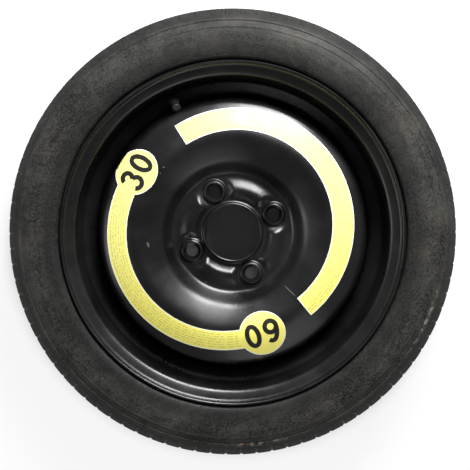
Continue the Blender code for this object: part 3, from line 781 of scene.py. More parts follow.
@dataclass(frozen=True)
class Mark:
    """One small mark on a surface, by its ends in the photograph's pixels."""

    start: Point
    end: Point
    width: float
    strength: float

    def mask(self, shader: ShaderTree, groups: Groups, flat: Socket) -> Socket:
        """Give the mark's mask in a material.

        Args:
            shader: The material's tree.
            groups: The shared groups.
            flat: The point on the surface, flattened on the wheel's plane.

        Returns:
            The mask times the mark's strength.
        """
        first, last = groups.photo.on_wheel(*self.start), groups.photo.on_wheel(*self.end)
        run = last - first
        form = {"Centre": (first + last) / 2, "Angle": atan2(run.y, run.x), "Length": run.length + self.width}
        streak = groups.streak.use(shader, Vector=flat, Width=self.width, **form)
        return shader.math("MULTIPLY", streak["Mask"], self.strength)


@dataclass(frozen=True)
class Finish:
    """A procedural finish. Its own class says what it looks like."""

    name: str
    specular: float = 0.5
    metallic: float = 0.0
    bump_height: float = 0.00008
    bump_strength: float = 0.5

    def look(self, shader: ShaderTree, groups: Groups, place: Socket) -> tuple[Socket, Socket, Socket]:
        """Lay out what varies over the surface.

        Args:
            shader: The material's tree.
            groups: The shared groups.
            place: The Object coordinates.

        Returns:
            The colour, the roughness and the height.
        """
        raise NotImplementedError

    def build(self, groups: Groups) -> Material:
        """Make the material.

        Args:
            groups: The shared groups.

        Returns:
            The material.
        """
        material = bpy.data.materials.new(self.name)
        material.use_nodes = True
        shader = ShaderTree(material.node_tree)
        colour, roughness, height = self.look(shader, groups, shader.place())
        relief = {"Distance": self.bump_height, "Strength": self.bump_strength, "Height": height}
        normal = shader.node("ShaderNodeBump", **relief).outputs["Normal"]
        bsdf = material.node_tree.nodes["Principled BSDF"]
        shader.fill(bsdf, Base_Color=colour, Roughness=roughness, Normal=normal)
        shader.fill(bsdf, Metallic=self.metallic, Specular_IOR_Level=self.specular)
        return material


@dataclass(frozen=True)
class TyreRubber(Finish):
    """Old black tyre rubber, greyed by dust, with scuffs where the sidewall stands out most."""

    specular: float = 0.25
    bump_height: float = 0.00035
    bump_strength: float = 0.55
    rubber: tuple = (0.003, 0.003, 0.003, 1.0)
    greyed: tuple = (0.050, 0.050, 0.0455, 1.0)
    browned: tuple = (0.053, 0.050, 0.041, 1.0)
    scuffed: tuple = (0.30, 0.285, 0.24, 1.0)
    rusty: tuple = (0.22, 0.08, 0.03, 1.0)
    bands: Grain = Grain(130, 4, 0.6, 0.30, 0.72)
    band_stretch: float = 0.035
    mottle: Grain = Grain(95, 8, 0.78, 0.36, 0.64)
    speckle: Grain = Grain(420, 5, 0.8, 0.40, 0.60)
    patches: Grain = Grain(14, 3, 0.6, 0.46, 0.66)
    scuff_breaks: Grain = Grain(160, 4, 0.7, 0.48, 0.62)
    pores: Grain = Grain(900, 3)
    band_height: float = 0.6
    worn_weights: tuple = (0.154, 0.22, 0.56)
    clean_share: float = 0.26
    bead_radii: tuple = (0.2180, 0.2380)
    bead_share: float = 0.40
    shoulder_radii: tuple = (0.2550, 0.2600)
    shoulder_share: float = 0.45
    roughness: tuple = (0.50, 0.82)
    scuff_radius: float = 0.2555
    scuff_width: float = 0.0036
    scuff_angles: tuple = (radians(-107), radians(-48))
    scuff_half_angle: float = radians(14)
    scuff_strength: float = 0.55
    rust: Mark = Mark((241.0, 443.0), (241.0, 443.0), 0.0035, 0.8)

    def scuffs(self, shader: ShaderTree, place: Socket, ring: bpy.types.NodeOutputs) -> Socket:
        """Mask the scuffs by their distance from the raised line and their place round the tyre.

        Args:
            shader: The material's tree.
            place: The point on the surface.
            ring: The point's distance and direction from the axis.

        Returns:
            The mask.
        """
        away = shader.math("ABSOLUTE", shader.math("SUBTRACT", ring["Radius"], self.scuff_radius))
        arcs = []
        for angle in self.scuff_angles:
            turned = shader.math("ABSOLUTE", shader.math("SUBTRACT", ring["Angle"], angle))
            arcs.append(shader.ramp(turned, self.scuff_half_angle, 0.0))
        near, broken = shader.ramp(away, self.scuff_width, 0.0), self.scuff_breaks.mask(shader, place)
        return shader.fold("MULTIPLY", (near, shader.fold("ADD", arcs), broken))

    def look(self, shader: ShaderTree, groups: Groups, place: Socket) -> tuple[Socket, Socket, Socket]:
        """Lay out the dust, the brown patches, the scuffs and the rust.

        Args:
            shader: The material's tree.
            groups: The shared groups.
            place: The Object coordinates.

        Returns:
            The colour, the roughness and the height.
        """
        ring = groups.round.use(shader, Vector=place, Stretch=self.band_stretch)
        bands = self.bands.mask(shader, ring["Coordinates"])
        speckle = self.speckle.mask(shader, place)
        dust = groups.dust.use(shader, Vector=place, Patch_Scale=20.0, Cover=0.50, Specks=0.7)["Mask"]
        layers = (bands, self.mottle.mask(shader, place), speckle)
        share = shader.weigh(-self.clean_share, *zip(layers, self.worn_weights), (dust, 1.0))
        shoulder = shader.ramp(ring["Radius"], *self.shoulder_radii, 1.0, self.shoulder_share)
        bead = shader.ramp(ring["Radius"], *self.bead_radii, self.bead_share, 1.0)
        grey = shader.mix(self.patches.mask(shader, place), self.greyed, self.browned)
        colour = shader.mix(shader.fold("MULTIPLY", (share, shoulder, bead)), self.rubber, grey)
        scuff = shader.math("MULTIPLY", self.scuffs(shader, place, ring), self.scuff_strength)
        colour = shader.mix(scuff, colour, self.scuffed)
        colour = shader.mix(self.rust.mask(shader, groups, shader.flatten(place)), colour, self.rusty)
        height = shader.math("MULTIPLY_ADD", bands, self.band_height, self.pores.value(shader, place))
        return colour, shader.ramp(speckle, 0.0, 1.0, *self.roughness), height


@dataclass(frozen=True)
class GlossPaint(Finish):
    """Black gloss enamel on pressed steel, with a fine ripple, thin dust and a few marks."""

    bump_height: float = 0.00022
    bump_strength: float = 0.30
    paint: tuple = (0.0028, 0.0028, 0.0032, 1.0)
    hazed: tuple = (0.0125, 0.0125, 0.0120, 1.0)
    marked: tuple = (0.26, 0.24, 0.21, 1.0)
    stained: tuple = (0.050, 0.030, 0.014, 1.0)
    marks: tuple = (
        Mark((283.0, 283.0), (296.0, 295.0), 0.0016, 0.30),
        Mark((147.0, 240.5), (148.4, 244.5), 0.0030, 0.30),
        Mark((163.0, 165.0), (163.6, 165.4), 0.0016, 0.55),
        Mark((160.0, 171.0), (160.4, 171.6), 0.0013, 0.40),
        Mark((205.0, 281.0), (205.5, 281.5), 0.0013, 0.40),
    )
    stain: Mark = Mark((255.0, 356.0), (261.0, 357.0), 0.0070, 0.8)
    wiped: Grain = Grain(24, 4, 0.6, 0.30, 0.75)
    roughness: tuple = (0.24, 0.34)
    dust_roughness: float = 0.14
    peel: Grain = Grain(260, 2)
    waves: Grain = Grain(26, 2)
    wave_share: float = 2.0

    def look(self, shader: ShaderTree, groups: Groups, place: Socket) -> tuple[Socket, Socket, Socket]:
        """Lay out the haze, the marks, the wiped gloss and the paint's ripple.

        Args:
            shader: The material's tree.
            groups: The shared groups.
            place: The Object coordinates.

        Returns:
            The colour, the roughness and the height.
        """
        flat = shader.flatten(place)
        dust = groups.dust.use(shader, Vector=place, Patch_Scale=11.0, Cover=0.50, Specks=0.55)["Mask"]
        colour = shader.mix(dust, self.paint, self.hazed)
        colour = shader.mix(self.stain.mask(shader, groups, flat), colour, self.stained)
        marks = shader.fold("ADD", [mark.mask(shader, groups, flat) for mark in self.marks], clamp=True)
        wiped = self.wiped.mask(shader, place, *self.roughness)
        rough = shader.math("MULTIPLY_ADD", dust, self.dust_roughness, wiped, clamp=True)
        waves = self.waves.value(shader, place)
        height = shader.math("MULTIPLY_ADD", waves, self.wave_share, self.peel.value(shader, place))
        return shader.mix(marks, colour, self.marked), rough, height


@dataclass(frozen=True)
class PlainFinish(Finish):
    """A small part's finish: one colour with a little dust, grain and uneven gloss."""

    colour: tuple = (0.012, 0.012, 0.012, 1.0)
    dusty: tuple = (0.06, 0.06, 0.055, 1.0)
    roughness: tuple = (0.35, 0.55)
    dust_cover: float = 0.4
    gloss: Grain = Grain(300, 3)
    grain: Grain = Grain(1400, 2)

    def look(self, shader: ShaderTree, groups: Groups, place: Socket) -> tuple[Socket, Socket, Socket]:
        """Lay out the dust, the gloss and the grain.

        Args:
            shader: The material's tree.
            groups: The shared groups.
            place: The Object coordinates.

        Returns:
            The colour, the roughness and the height.
        """
        dust = groups.dust.use(shader, Vector=place, Patch_Scale=90.0, Cover=self.dust_cover, Specks=0.2)
        colour = shader.mix(dust["Mask"], self.colour, self.dusty)
        return colour, self.gloss.mask(shader, place, *self.roughness), self.grain.value(shader, place)


@dataclass(frozen=True)
class ArcBand:
    """A curved band on the wheel's plane: its own centre, its radii and where it starts and ends."""

    centre: Point
    inner: float
    outer: float
    start: float
    end: float

    def outline(self, steps: int) -> list[Point]:
        """Give the band's outline.

        Args:
            steps: How many parts each of its two arcs has.

        Returns:
            The points, along the outer arc and back along the inner one.
        """
        angles = steps_from(self.start, self.end, steps)
        out = [on_arc(self.centre, self.outer, angle) for angle in angles]
        return out + [on_arc(self.centre, self.inner, angle) for angle in angles[::-1]]


@dataclass(frozen=True)
class RoundEnd:
    """A round field at one end of a band, shortened along the wheel's radius by the slope it lies on."""

    centre: Point
    radius: float
    squash: float

    @property
    def direction(self) -> float:
        """Give the direction of the field's centre from the wheel's axis."""
        return atan2(self.centre[1], self.centre[0])

    def outline(self, steps: int) -> list[Point]:
        """Give the field's outline.

        Args:
            steps: How many points it has.

        Returns:
            The points, round the field.
        """
        turn = Matrix.Rotation(self.direction, 2)
        points = []
        for angle in steps_from(0, 2 * pi, steps)[:-1]:
            place = turn @ Vector((self.radius * self.squash * cos(angle), self.radius * sin(angle)))
            points.append((self.centre[0] + place.x, self.centre[1] + place.y))
        return points


@dataclass(frozen=True)
class StickerFilm(Finish):
    """Yellow film with a white edge and faint rows of grey dashes, painted paler towards the key lamp's side
    as a painted sheen.
    """

    specular: float = 0.35
    bump_height: float = 0.0006
    bump_strength: float = 0.25
    band: Optional[ArcBand] = None
    ends: tuple = ()
    white: tuple = (0.83, 0.83, 0.74, 1.0)
    # pale is the yellow where the sheen is painted on the key lamp's side, and in random blotches; deep is the
    # plain yellow.
    pale: tuple = (0.75, 0.73, 0.25, 1.0)
    deep: tuple = (0.88, 0.80, 0.15, 1.0)
    dashes: tuple = (0.20, 0.19, 0.07, 1.0)
    edge_depths: tuple = (0.001035, 0.000765)
    row_depths: tuple = (0.0018, 0.0027)
    field_depths: tuple = (0.0, -0.002)
    row_shares: tuple = (0.17, 0.30, 0.43, 0.57, 0.70, 0.83)
    row_height: float = 0.0015
    row_strength: float = 0.42
    row_shift: float = 57.0
    dash_length: float = 0.0011
    dash_gaps: float = 0.34
    # Painted sheen: the way towards the key lamp along which the yellow turns paler, and the range of that
    # change.
    sheen_way: tuple = (0.50, 0.86, 0.0)
    sheen_range: tuple = (-0.12, 0.10)
    blotches: Grain = Grain(60, 4)
    blotch_share: float = 0.30
    gloss: Grain = Grain(40, 3)
    roughness: tuple = (0.34, 0.50)
    ripple: Grain = Grain(70, 3)

    def band_depth(self, shader: ShaderTree, flat: Socket) -> tuple[Socket, Socket, Socket]:
        """Measure how deep a point lies inside the band.

        Args:
            shader: The material's tree.
            flat: The point, flattened on the wheel's plane.

        Returns:
            The depth inside the band, the distance from its centre, and the angle from its middle.
        """
        band = self.band
        middle, half = (band.start + band.end) / 2, (band.end - band.start) / 2
        place = shader.seen_from(flat, (*band.centre, 0.0), -middle)
        radius = shader.vector("LENGTH", place)
        x, y, _ = shader.split(place)
        forward = shader.math("MULTIPLY", x, sin(half))
        side = shader.math("MULTIPLY", shader.math("ABSOLUTE", y), cos(half))
        depths = [(radius, band.inner), (band.outer, radius), (forward, side)]
        depth = shader.fold("MINIMUM", [shader.math("SUBTRACT", *pair) for pair in depths])
        return depth, radius, shader.math("ARCTAN2", y, x)

    def end_depth(self, shader: ShaderTree, flat: Socket, end: RoundEnd) -> Socket:
        """Measure how deep a point lies inside a round end.

        Args:
            shader: The material's tree.
            flat: The point, flattened on the wheel's plane.
            end: The round end.

        Returns:
            The depth.
        """
        place = shader.seen_from(flat, (*end.centre, 0.0), -end.direction)
        stretched = shader.vector("MULTIPLY", place, (1 / end.squash, 1.0, 0.0))
        return shader.math("SUBTRACT", end.radius, shader.vector("LENGTH", stretched))

    def rows(self, shader: ShaderTree, radius: Socket, angle: Socket) -> Socket:
        """Mask the rows of dashes along the band.

        Args:
            shader: The material's tree.
            radius: The point's distance from the band's centre.
            angle: Its angle from the band's middle.

        Returns:
            The mask.
        """
        rows = []
        for index, share in enumerate(self.row_shares):
            row_radius = self.band.inner + share * (self.band.outer - self.band.inner)
            away = shader.math("ABSOLUTE", shader.math("SUBTRACT", radius, row_radius))
            cell = shader.math("FLOOR", shader.math("MULTIPLY", angle, row_radius / self.dash_length))
            seed = shader.math("ADD", cell, index * self.row_shift)
            drawn = shader.node("ShaderNodeTexWhiteNoise", {"noise_dimensions": "1D"}, W=seed).outputs["Value"]
            picked = shader.math("GREATER_THAN", drawn, self.dash_gaps)
            near = shader.ramp(away, self.row_height / 2, self.row_height / 4)
            rows.append(shader.math("MULTIPLY", near, picked))
        return shader.fold("ADD", rows, clamp=True)

    def look(self, shader: ShaderTree, groups: Groups, place: Socket) -> tuple[Socket, Socket, Socket]:
        """Lay out the yellow with its painted sheen, the rows of dashes and the white edge.

        Args:
            shader: The material's tree.
            groups: The shared groups.
            place: The Object coordinates.

        Returns:
            The colour, the roughness and the height.
        """
        flat = shader.flatten(place)
        depth, radius, angle = self.band_depth(shader, flat)
        fields = [self.end_depth(shader, flat, end) for end in self.ends]
        # Painted sheen: the yellow turns paler towards the key lamp's side, and random blotches of tone vary
        # it too.
        painted_sheen = shader.ramp(shader.vector("DOT_PRODUCT", flat, self.sheen_way), *self.sheen_range)
        blotches = self.blotches.value(shader, place)
        share = shader.math("MULTIPLY_ADD", blotches, self.blotch_share, painted_sheen, clamp=True)
        colour = shader.mix(share, self.deep, self.pale)
        rows = [self.rows(shader, radius, angle), shader.ramp(depth, *self.row_depths)]
        rows += [shader.ramp(field_depth, *self.field_depths) for field_depth in fields]
        rows = shader.math("MULTIPLY", shader.fold("MULTIPLY", rows), self.row_strength)
        whole = shader.fold("MAXIMUM", [depth, *fields])
        edge = shader.ramp(whole, *self.edge_depths)
        colour = shader.mix(edge, shader.mix(rows, colour, self.dashes), self.white)
        return colour, self.gloss.mask(shader, place, *self.roughness), self.ripple.value(shader, place)


# Sub-assemblies


@dataclass
class WheelRim:
    """The rolled rim, with a J flange on each side and a well between them."""

    seat_radius: float = 0.1901
    width: float = 0.0889
    sheet: float = 0.0027
    flange_height: float = 0.0173
    curl_radius: float = 0.0095
    lip_width: float = 0.0130
    tip_drop: float = 0.0008
    curl_steps: int = 3
    fillet_radius: float = 0.0065
    seat_width: float = 0.0200
    seat_taper: float = radians(5)
    well_radius: float = 0.1680
    well_front_z: float = 0.0050
    well_rear_z: float = -0.0145
    slope_run: float = 0.0172
    front_slope: float = radians(25.5)
    rear_slope: float = radians(23)
    bend_share: float = 0.16
    valve_place_share: float = 0.605
    valve_hole_radius: float = 0.00565
    cad_steps: int = 36

    def curl_centre(self) -> Point:
        """Find the centre of the front flange's curl."""
        return self.seat_radius + self.flange_height - self.curl_radius, self.width / 2 + self.curl_radius

    def flange_line(self, side: int) -> list[Point]:
        """Give the tyre side of one flange, from its tip to the start of the bead seat.

        Args:
            side: 1 for the street side, -1 for the rear.

        Returns:
            The points.
        """
        fillet = (self.seat_radius + self.fillet_radius, self.width / 2 - self.fillet_radius)
        line = [(self.seat_radius + self.flange_height - self.tip_drop, self.width / 2 + self.lip_width)]
        for index in range(self.curl_steps + 1):
            line.append(on_arc(self.curl_centre(), self.curl_radius, -pi / 2 * index / self.curl_steps))
        line += [on_arc(fillet, self.fillet_radius, 3 * pi / 4), (self.seat_radius, fillet[1])]
        return [(radius, side * z) for radius, z in line]

    def seat_radius_at(self, z: float) -> float:
        """Give the bead seat's radius at a height."""
        start = self.width / 2 - self.fillet_radius
        return self.seat_radius - max(start - abs(z), 0.0) * tan(self.seat_taper)

    def tyre_side(self) -> list[Point]:
        """Give the side of the rim that the tyre meets.

        Returns:
            The points, from the street side down.
        """
        seat_end = self.width / 2 - self.seat_width
        slope_top = self.well_radius + self.slope_run
        well = [
            (self.seat_radius_at(seat_end), seat_end),
            (slope_top, self.well_front_z + self.slope_run * tan(self.front_slope)),
            (self.well_radius, self.well_front_z),
            (self.well_radius, self.well_rear_z),
            (slope_top, self.well_rear_z - self.slope_run * tan(self.rear_slope)),
            (self.seat_radius_at(seat_end), -seat_end),
        ]
        return self.flange_line(1) + well + self.flange_line(-1)[::-1]

    def axle_side(self) -> list[Point]:
        """Give the side of the rim that faces the axle."""
        return offset_line(self.tyre_side(), self.sheet)

    def well_corner(self) -> int:
        """Find the well's front corner among the points of the section."""
        return len(self.flange_line(1)) + 2

    def well_inner_radius(self) -> float:
        """Give the radius inside the well."""
        return self.axle_side()[self.well_corner() + 1][0]

    def valve_frame(self) -> Matrix:
        """Find the valve's seat.

        Returns:
            The seat's place, with Z along the valve.
        """
        top, corner = self.axle_side()[self.well_corner() - 1 : self.well_corner() + 1]
        place = between(corner, top, self.valve_place_share)
        facet = cos(pi / self.cad_steps)
        lean = atan2(top[1] - corner[1], (top[0] - corner[0]) * facet)
        return Matrix.Translation((0, place[0] * facet, place[1])) @ Matrix.Rotation(lean, 4, "X")

    def crisp_line(self) -> list[Point]:
        """Give the tyre side with extra corners, so that its bends stay tight when it is softened.

        Returns:
            The points.
        """
        line = self.tyre_side()
        crisp = [line[0]]
        for before, here, after in zip(line, line[1:], line[2:]):
            crisp += [between(here, before, self.bend_share), between(here, after, self.bend_share)]
        return crisp + line[-1:]

    def build(self, paint: Material) -> Piece:
        """Roll the rim and drill it for the valve.

        Args:
            paint: The rim's finish.

        Returns:
            The rim.
        """
        section = sheet_section(soften(self.crisp_line()), self.sheet, Edge.EASED, Edge.EASED)
        hole, reach = self.valve_hole_radius, self.sheet * 3
        drill = turn_section([(hole, reach), (hole, -reach), (0, -reach), (0, reach)])
        drill.transform(self.valve_frame())
        return new_piece("rim_band", combine(turn_section(section, ROUND_STEPS), Cut.REMOVE, drill), paint)


@dataclass
class Tyre:
    """The temporary tyre: one pitch of its tread is modelled and repeated all round."""

    rim: WheelRim
    radius: float = 0.2710
    section_width: float = 0.1190
    tread_width: float = 0.0740
    crown_drop: float = 0.0018
    bead_width: float = 0.0175
    clinch_gap: float = 0.0010
    clinch_rise: float = 0.0080
    clinch_share: float = 0.86
    widest_inner: float = 0.2220
    widest_outer: float = 0.2370
    sidewall_shares: tuple = ((0.31, 0.115), (0.52, 0.30), (0.64, 0.41), (0.85, 0.71))
    line_height: float = 0.0010
    line_flank: float = 0.0009
    line_crest_share: float = 0.15
    ring_radii: tuple = (0.2120, 0.2462)
    ring_height: float = 0.0004
    ring_width: float = 0.0008
    lift_lean: float = 0.4
    sidewall_thickness: float = 0.0058
    shoulder_thickness: float = 0.0066
    tread_thickness: float = 0.0095
    apex_height: float = 0.0150
    apex_thickness: float = 0.0056
    land_rows: int = 4
    groove_offset: float = 0.0125
    groove_width: float = 0.0050
    groove_depth: float = 0.0042
    groove_wall_share: float = 0.72
    groove_foot_share: float = 0.94
    slot_count: int = 90
    slot_width: float = 0.0030
    slot_depth: float = 0.0029
    slot_tilt: float = radians(24)
    slot_wall: float = 0.0003

    def crown_radius_at(self, z: float) -> float:
        """Give the tread's radius at a height."""
        return self.radius - self.crown_drop * (2 * z / self.tread_width) ** 2

    def tread_edge(self) -> Point:
        """Find the edge of the tread."""
        return self.crown_radius_at(self.tread_width / 2), self.tread_width / 2

    def bead_line(self) -> list[Point]:
        """Give the bead.

        Returns:
            The points from its toe to where it leaves the flange.
        """
        rim, wall = self.rim, self.rim.width / 2
        centre = rim.curl_centre()
        toe = wall - self.bead_width
        return [
            (rim.seat_radius_at(toe) + FIT_GAP, toe),
            (rim.seat_radius + FIT_GAP, wall - rim.fillet_radius),
            (centre[0], wall - FIT_GAP),
            on_arc(centre, rim.curl_radius + FIT_GAP, -pi / 2 * (1 - 1 / rim.curl_steps)),
            (rim.seat_radius + rim.flange_height + self.clinch_gap, wall + self.clinch_rise),
        ]

    def wall_points(self) -> list[Point]:
        """Give the sidewall's corners.

        Returns:
            The points from the flange to the tread's edge.
        """
        clinch, edge = self.bead_line()[-1], self.tread_edge()
        inner, outer = ((radius, self.section_width / 2) for radius in (self.widest_inner, self.widest_outer))
        lower = between(inner, clinch, self.clinch_share, 1 - self.clinch_share)
        upper = [between(outer, edge, *shares) for shares in self.sidewall_shares]
        return [clinch, lower, inner, outer, *upper, edge]

    def line_reach(self) -> tuple[float, float]:
        """Give the radii where the raised line starts and ends."""
        foot, crest = self.wall_points()[5:7]
        return foot[0], crest[0] + (crest[0] - foot[0]) * self.line_crest_share

    def raised(self, point: Point) -> Point:
        """Lift a point of the sidewall where a raised ring runs.

        Args:
            point: The point.

        Returns:
            The lifted point.
        """
        low, high = self.line_reach()
        lift = self.line_height * smooth_step(low, low + self.line_flank, point[0])
        lift *= smooth_step(high, high - self.line_flank, point[0])
        for radius in self.ring_radii:
            lift += self.ring_height * smooth_step(self.ring_width, 0.0, abs(point[0] - radius))
        return point[0] + lift * self.lift_lean, point[1] + lift

    def wall_line(self) -> list[Point]:
        """Give the smooth sidewall, with points of its own where each raised ring starts, peaks and ends.

        Returns:
            The points.
        """
        line = soften(self.wall_points(), rounds=3)
        low, high = self.line_reach()
        stops = [low, low + self.line_flank, high - self.line_flank, high]
        for radius in self.ring_radii:
            stops += [radius - self.ring_width, radius, radius + self.ring_width]
        for stop in stops:
            index = next(index for index, point in enumerate(line) if point[0] > stop)
            before, after = line[index - 1 : index + 1]
            line.insert(index, between(before, after, (stop - before[0]) / (after[0] - before[0])))
        return [self.raised(point) for point in line]

    def outer_line(self) -> list[Point]:
        """Give the outside of the tyre's street half.

        Returns:
            The points from its toe to the middle of the tread.
        """
        middle, half = self.groove_offset, self.groove_width / 2
        rows = steps_from(self.tread_width / 2, middle + half, self.land_rows)[1:-1]
        top, foot = self.crown_radius_at(middle), half * (1 - self.groove_wall_share)
        groove = [
            (self.crown_radius_at(middle + half), middle + half),
            (top - self.groove_depth * self.groove_foot_share, middle + foot),
            (top - self.groove_depth, middle),
            (top - self.groove_depth * self.groove_foot_share, middle - foot),
            (self.crown_radius_at(middle - half), middle - half),
        ]
        return self.bead_line()[:-1] + self.wall_line() + [(self.crown_radius_at(z), z) for z in rows] + groove

    def inner_line(self) -> list[Point]:
        """Give the inside of the tyre's street half.

        Returns:
            The points from its bead to its tread.
        """
        middle = (self.widest_inner + self.widest_outer) / 2
        return [
            (self.rim.seat_radius + self.apex_height, self.rim.width / 2 - self.apex_thickness),
            (middle, self.section_width / 2 - self.sidewall_thickness),
            offset_line(self.wall_points()[4:7], self.shoulder_thickness)[1],
            (self.radius - self.tread_thickness, self.tread_width / 2 - self.tread_thickness),
        ]

    def section(self) -> list[Point]:
        """Give the whole closed section.

        Returns:
            The points, round the section.
        """
        outer, inner = self.outer_line(), self.inner_line()
        rear = [(radius, -z) for radius, z in outer[::-1] + inner]
        return outer + rear + inner[::-1]

    def cut_slot(self, radius: float, z: float, angle: float) -> Point:
        """Move a point down to the floor of the slot if the slot runs through its column.

        Args:
            radius: The point's radius.
            z: Its height.
            angle: The angle of its column.

        Returns:
            The point's new radius and height.
        """
        edge = self.tread_edge()
        inside = self.slot_width / 2 - abs(angle) * edge[0]
        open_share = smooth_step(-self.slot_wall / 2, self.slot_wall / 2, inside)
        above = (radius - edge[0]) * cos(self.slot_tilt) + (abs(z) - edge[1]) * sin(self.slot_tilt)
        down = (above + self.slot_depth) * open_share
        if down <= 0 or radius < self.widest_outer:
            return radius, z
        side = 1 if z > 0 else -1
        return radius - down * cos(self.slot_tilt), z - side * down * sin(self.slot_tilt)

    def build(self, ring: GeometryTree, rubber: Material) -> Piece:
        """Mould one pitch of the tyre and repeat it round the axis.

        Args:
            ring: The tree that repeats a sector.
            rubber: The tyre's finish.

        Returns:
            The tyre.
        """
        wall, half = self.slot_wall / self.radius, self.slot_width / 2 / self.radius
        right = [half - wall / 2, half + wall / 2, pi / self.slot_count]
        angles = [-angle for angle in right[::-1]] + [0] + right
        sector = sweep_section(self.section(), angles, self.cut_slot)
        mesh = ring.make(sector, Count=self.slot_count, Finish=rubber)
        return new_piece("tyre_casing", mesh, rubber, sharp_angle=radians(40))


@dataclass
class PressedDisc:
    """The disc: a collar, four ribs, a bowl, a crown and a skirt pressed in one sheet."""

    rim: WheelRim
    sheet: float = 0.0035
    mount_face_z: float = 0.0235
    bore_radius: float = 0.03255
    collar_height: float = 0.0066
    collar_fillet: float = 0.0030
    fillet_steps: int = 6
    nave_rows: int = 26
    rib_height: float = 0.0050
    rib_crest: float = 0.0510
    rib_outer: float = 0.0680
    rib_clear: float = 0.0150
    rib_full: float = 0.0240
    valley_radius: float = 0.0708
    valley_fillet: float = 0.0033
    wall_radius: float = 0.0860
    crest: Point = (0.1170, 0.0545)
    edge: Point = (0.1594, 0.0350)
    film_margin: float = 0.0005
    wall_rise_share: float = 0.60
    bowl_shares: tuple = ((0.22, 0.29), (0.50, 0.61), (0.78, 0.88))
    crown_shares: tuple = ((0.19, 0.06), (0.50, 0.325), (0.78, 0.635), (0.93, 0.815))
    skirt: Point = (0.1615, 0.0145)
    flange_top_z: float = 0.0035
    flange_end_z: float = -0.0100
    pocket_bulge: float = 0.0018
    pocket_half_angle: float = radians(14)
    bolt_count: int = 4
    bolt_circle: float = 0.0540
    boss_height: float = 0.0045
    boss_skin: float = 0.0001
    boss_outline: tuple = (
        (0.0092, 0.0046),
        (0.0119, 0.0046),
        (0.0134, 0.003375),
        (0.0139, 0.00099),
        (0.0150, 0.0002),
        (0.0162, -0.0001),
    )
    seat_top: float = 0.0104
    seat_half_angle: float = radians(30)
    hole_radius: float = 0.0072
    dimple_outer: float = 0.0134
    dimple_top: float = 0.0112
    dimple_inner: float = 0.0088
    dimple_height: float = 0.0042
    dimple_lip: float = 0.0010

    @property
    def floor_z(self) -> float:
        """Give the height of the nave's front face between its ribs."""
        return self.mount_face_z + self.sheet

    @property
    def fillet_centre(self) -> Point:
        """Give the centre of the fillet at the collar's foot."""
        return self.bore_radius + self.sheet + self.collar_fillet, self.floor_z + self.collar_fillet

    def nave_points(self) -> list[Point]:
        """Give the front face of the nave, in close rows.

        Returns:
            The points from the collar's top to the nave's edge.
        """
        centre = self.fillet_centre
        bends = steps_from(-pi, -pi / 2, self.fillet_steps)
        rows = steps_from(centre[0], self.rib_outer, self.nave_rows)[1:]
        points = [(self.bore_radius + self.sheet, self.floor_z + self.collar_height)]
        points += [on_arc(centre, self.collar_fillet, angle) for angle in bends]
        return points + [(radius, self.floor_z) for radius in rows]

    def outer_points(self) -> list[Point]:
        """Give the front face's corners outside the nave.

        Returns:
            The points from the nave's edge to the flange's end.
        """
        floor, outer = self.floor_z, self.rim.well_inner_radius() - FIT_GAP
        bend = (self.valley_radius + self.valley_fillet, floor + self.valley_fillet * tan(pi / 6))
        wall_top = (self.wall_radius, floor + self.wall_rise_share * (self.crest[1] - floor))
        points = [(self.rib_outer, floor), (self.valley_radius, floor)]
        points += [bend, between(bend, wall_top, 0.5), wall_top]
        points += [between(wall_top, self.crest, *shares) for shares in self.bowl_shares] + [self.crest]
        points += [between(self.crest, self.edge, *shares) for shares in self.crown_shares]
        points += [self.edge, self.skirt]
        middle_z = (self.flange_top_z + self.flange_end_z) / 2
        return points + [(outer, z) for z in (self.flange_top_z, middle_z, self.flange_end_z)]

    def front_line(self) -> list[Point]:
        """Give the whole front face as a smooth line."""
        return self.nave_points()[:-1] + soften(self.outer_points(), 2)

    def surface(self) -> list[Point]:
        """Give the front face over the bowl and the crown.

        Returns:
            The points, from the valley to just inside the crown's edge.
        """
        last = self.edge[0] - self.film_margin
        return [point for point in self.front_line() if self.valley_radius < point[0] < last]

    def press(self, radius: float, z: float, angle: float) -> Point:
        """Press the ribs and the pockets into the sheet at one point.

        Args:
            radius: The point's radius.
            z: Its height.
            angle: The angle of its column.

        Returns:
            The point's new radius and height.
        """
        spacing = 2 * pi / self.bolt_count
        turn = (angle + spacing / 2) % spacing - spacing / 2
        start, crest = self.fillet_centre[0], self.rib_crest
        if start < radius < self.rib_outer:
            foot = start if radius <= crest else self.rib_outer
            share = (radius - foot) / (crest - foot)
            away = hypot(radius * cos(turn) - self.bolt_circle, radius * sin(turn))
            z += self.rib_height * (1 - cos(pi * share)) / 2 * smooth_step(self.rib_clear, self.rib_full, away)
        if self.rib_outer < radius < self.wall_radius:
            fade = smooth_step(self.wall_radius, self.valley_radius, radius)
            fade *= smooth_step(self.rib_outer, self.valley_radius, radius)
            radius += self.pocket_bulge * fade * smooth_step(self.pocket_half_angle, 0.0, abs(turn))
        return radius, z

    def change_bolts(self, mesh: Mesh, cut: Cut, profile: Sequence[Point]) -> Mesh:
        """Turn a closed profile and add it, or cut it out, at each bolt hole.

        Args:
            mesh: The disc so far.
            cut: What the turned profile does to it.
            profile: The profile.

        Returns:
            The changed disc.
        """
        single = turn_section(profile)
        out = Matrix.Translation((self.bolt_circle, 0, 0))
        turns = [Matrix.Rotation(angle, 4, "Z") for angle in steps_from(0, 2 * pi, self.bolt_count)[:-1]]
        return combine(mesh, cut, join_meshes(moved_copy(single, turn @ out) for turn in turns))

    def boss_profile(self) -> list[Point]:
        """Give the section of a boss, with a soft foot and a round crest.

        Returns:
            The closed section.
        """
        floor = self.floor_z
        top, root = floor + self.boss_height + self.boss_skin, floor - self.sheet / 2
        side = soften([(radius, floor + z) for radius, z in self.boss_outline], rounds=3)
        return [(0, top)] + side + [(self.boss_outline[-1][0], root), (0, root)]

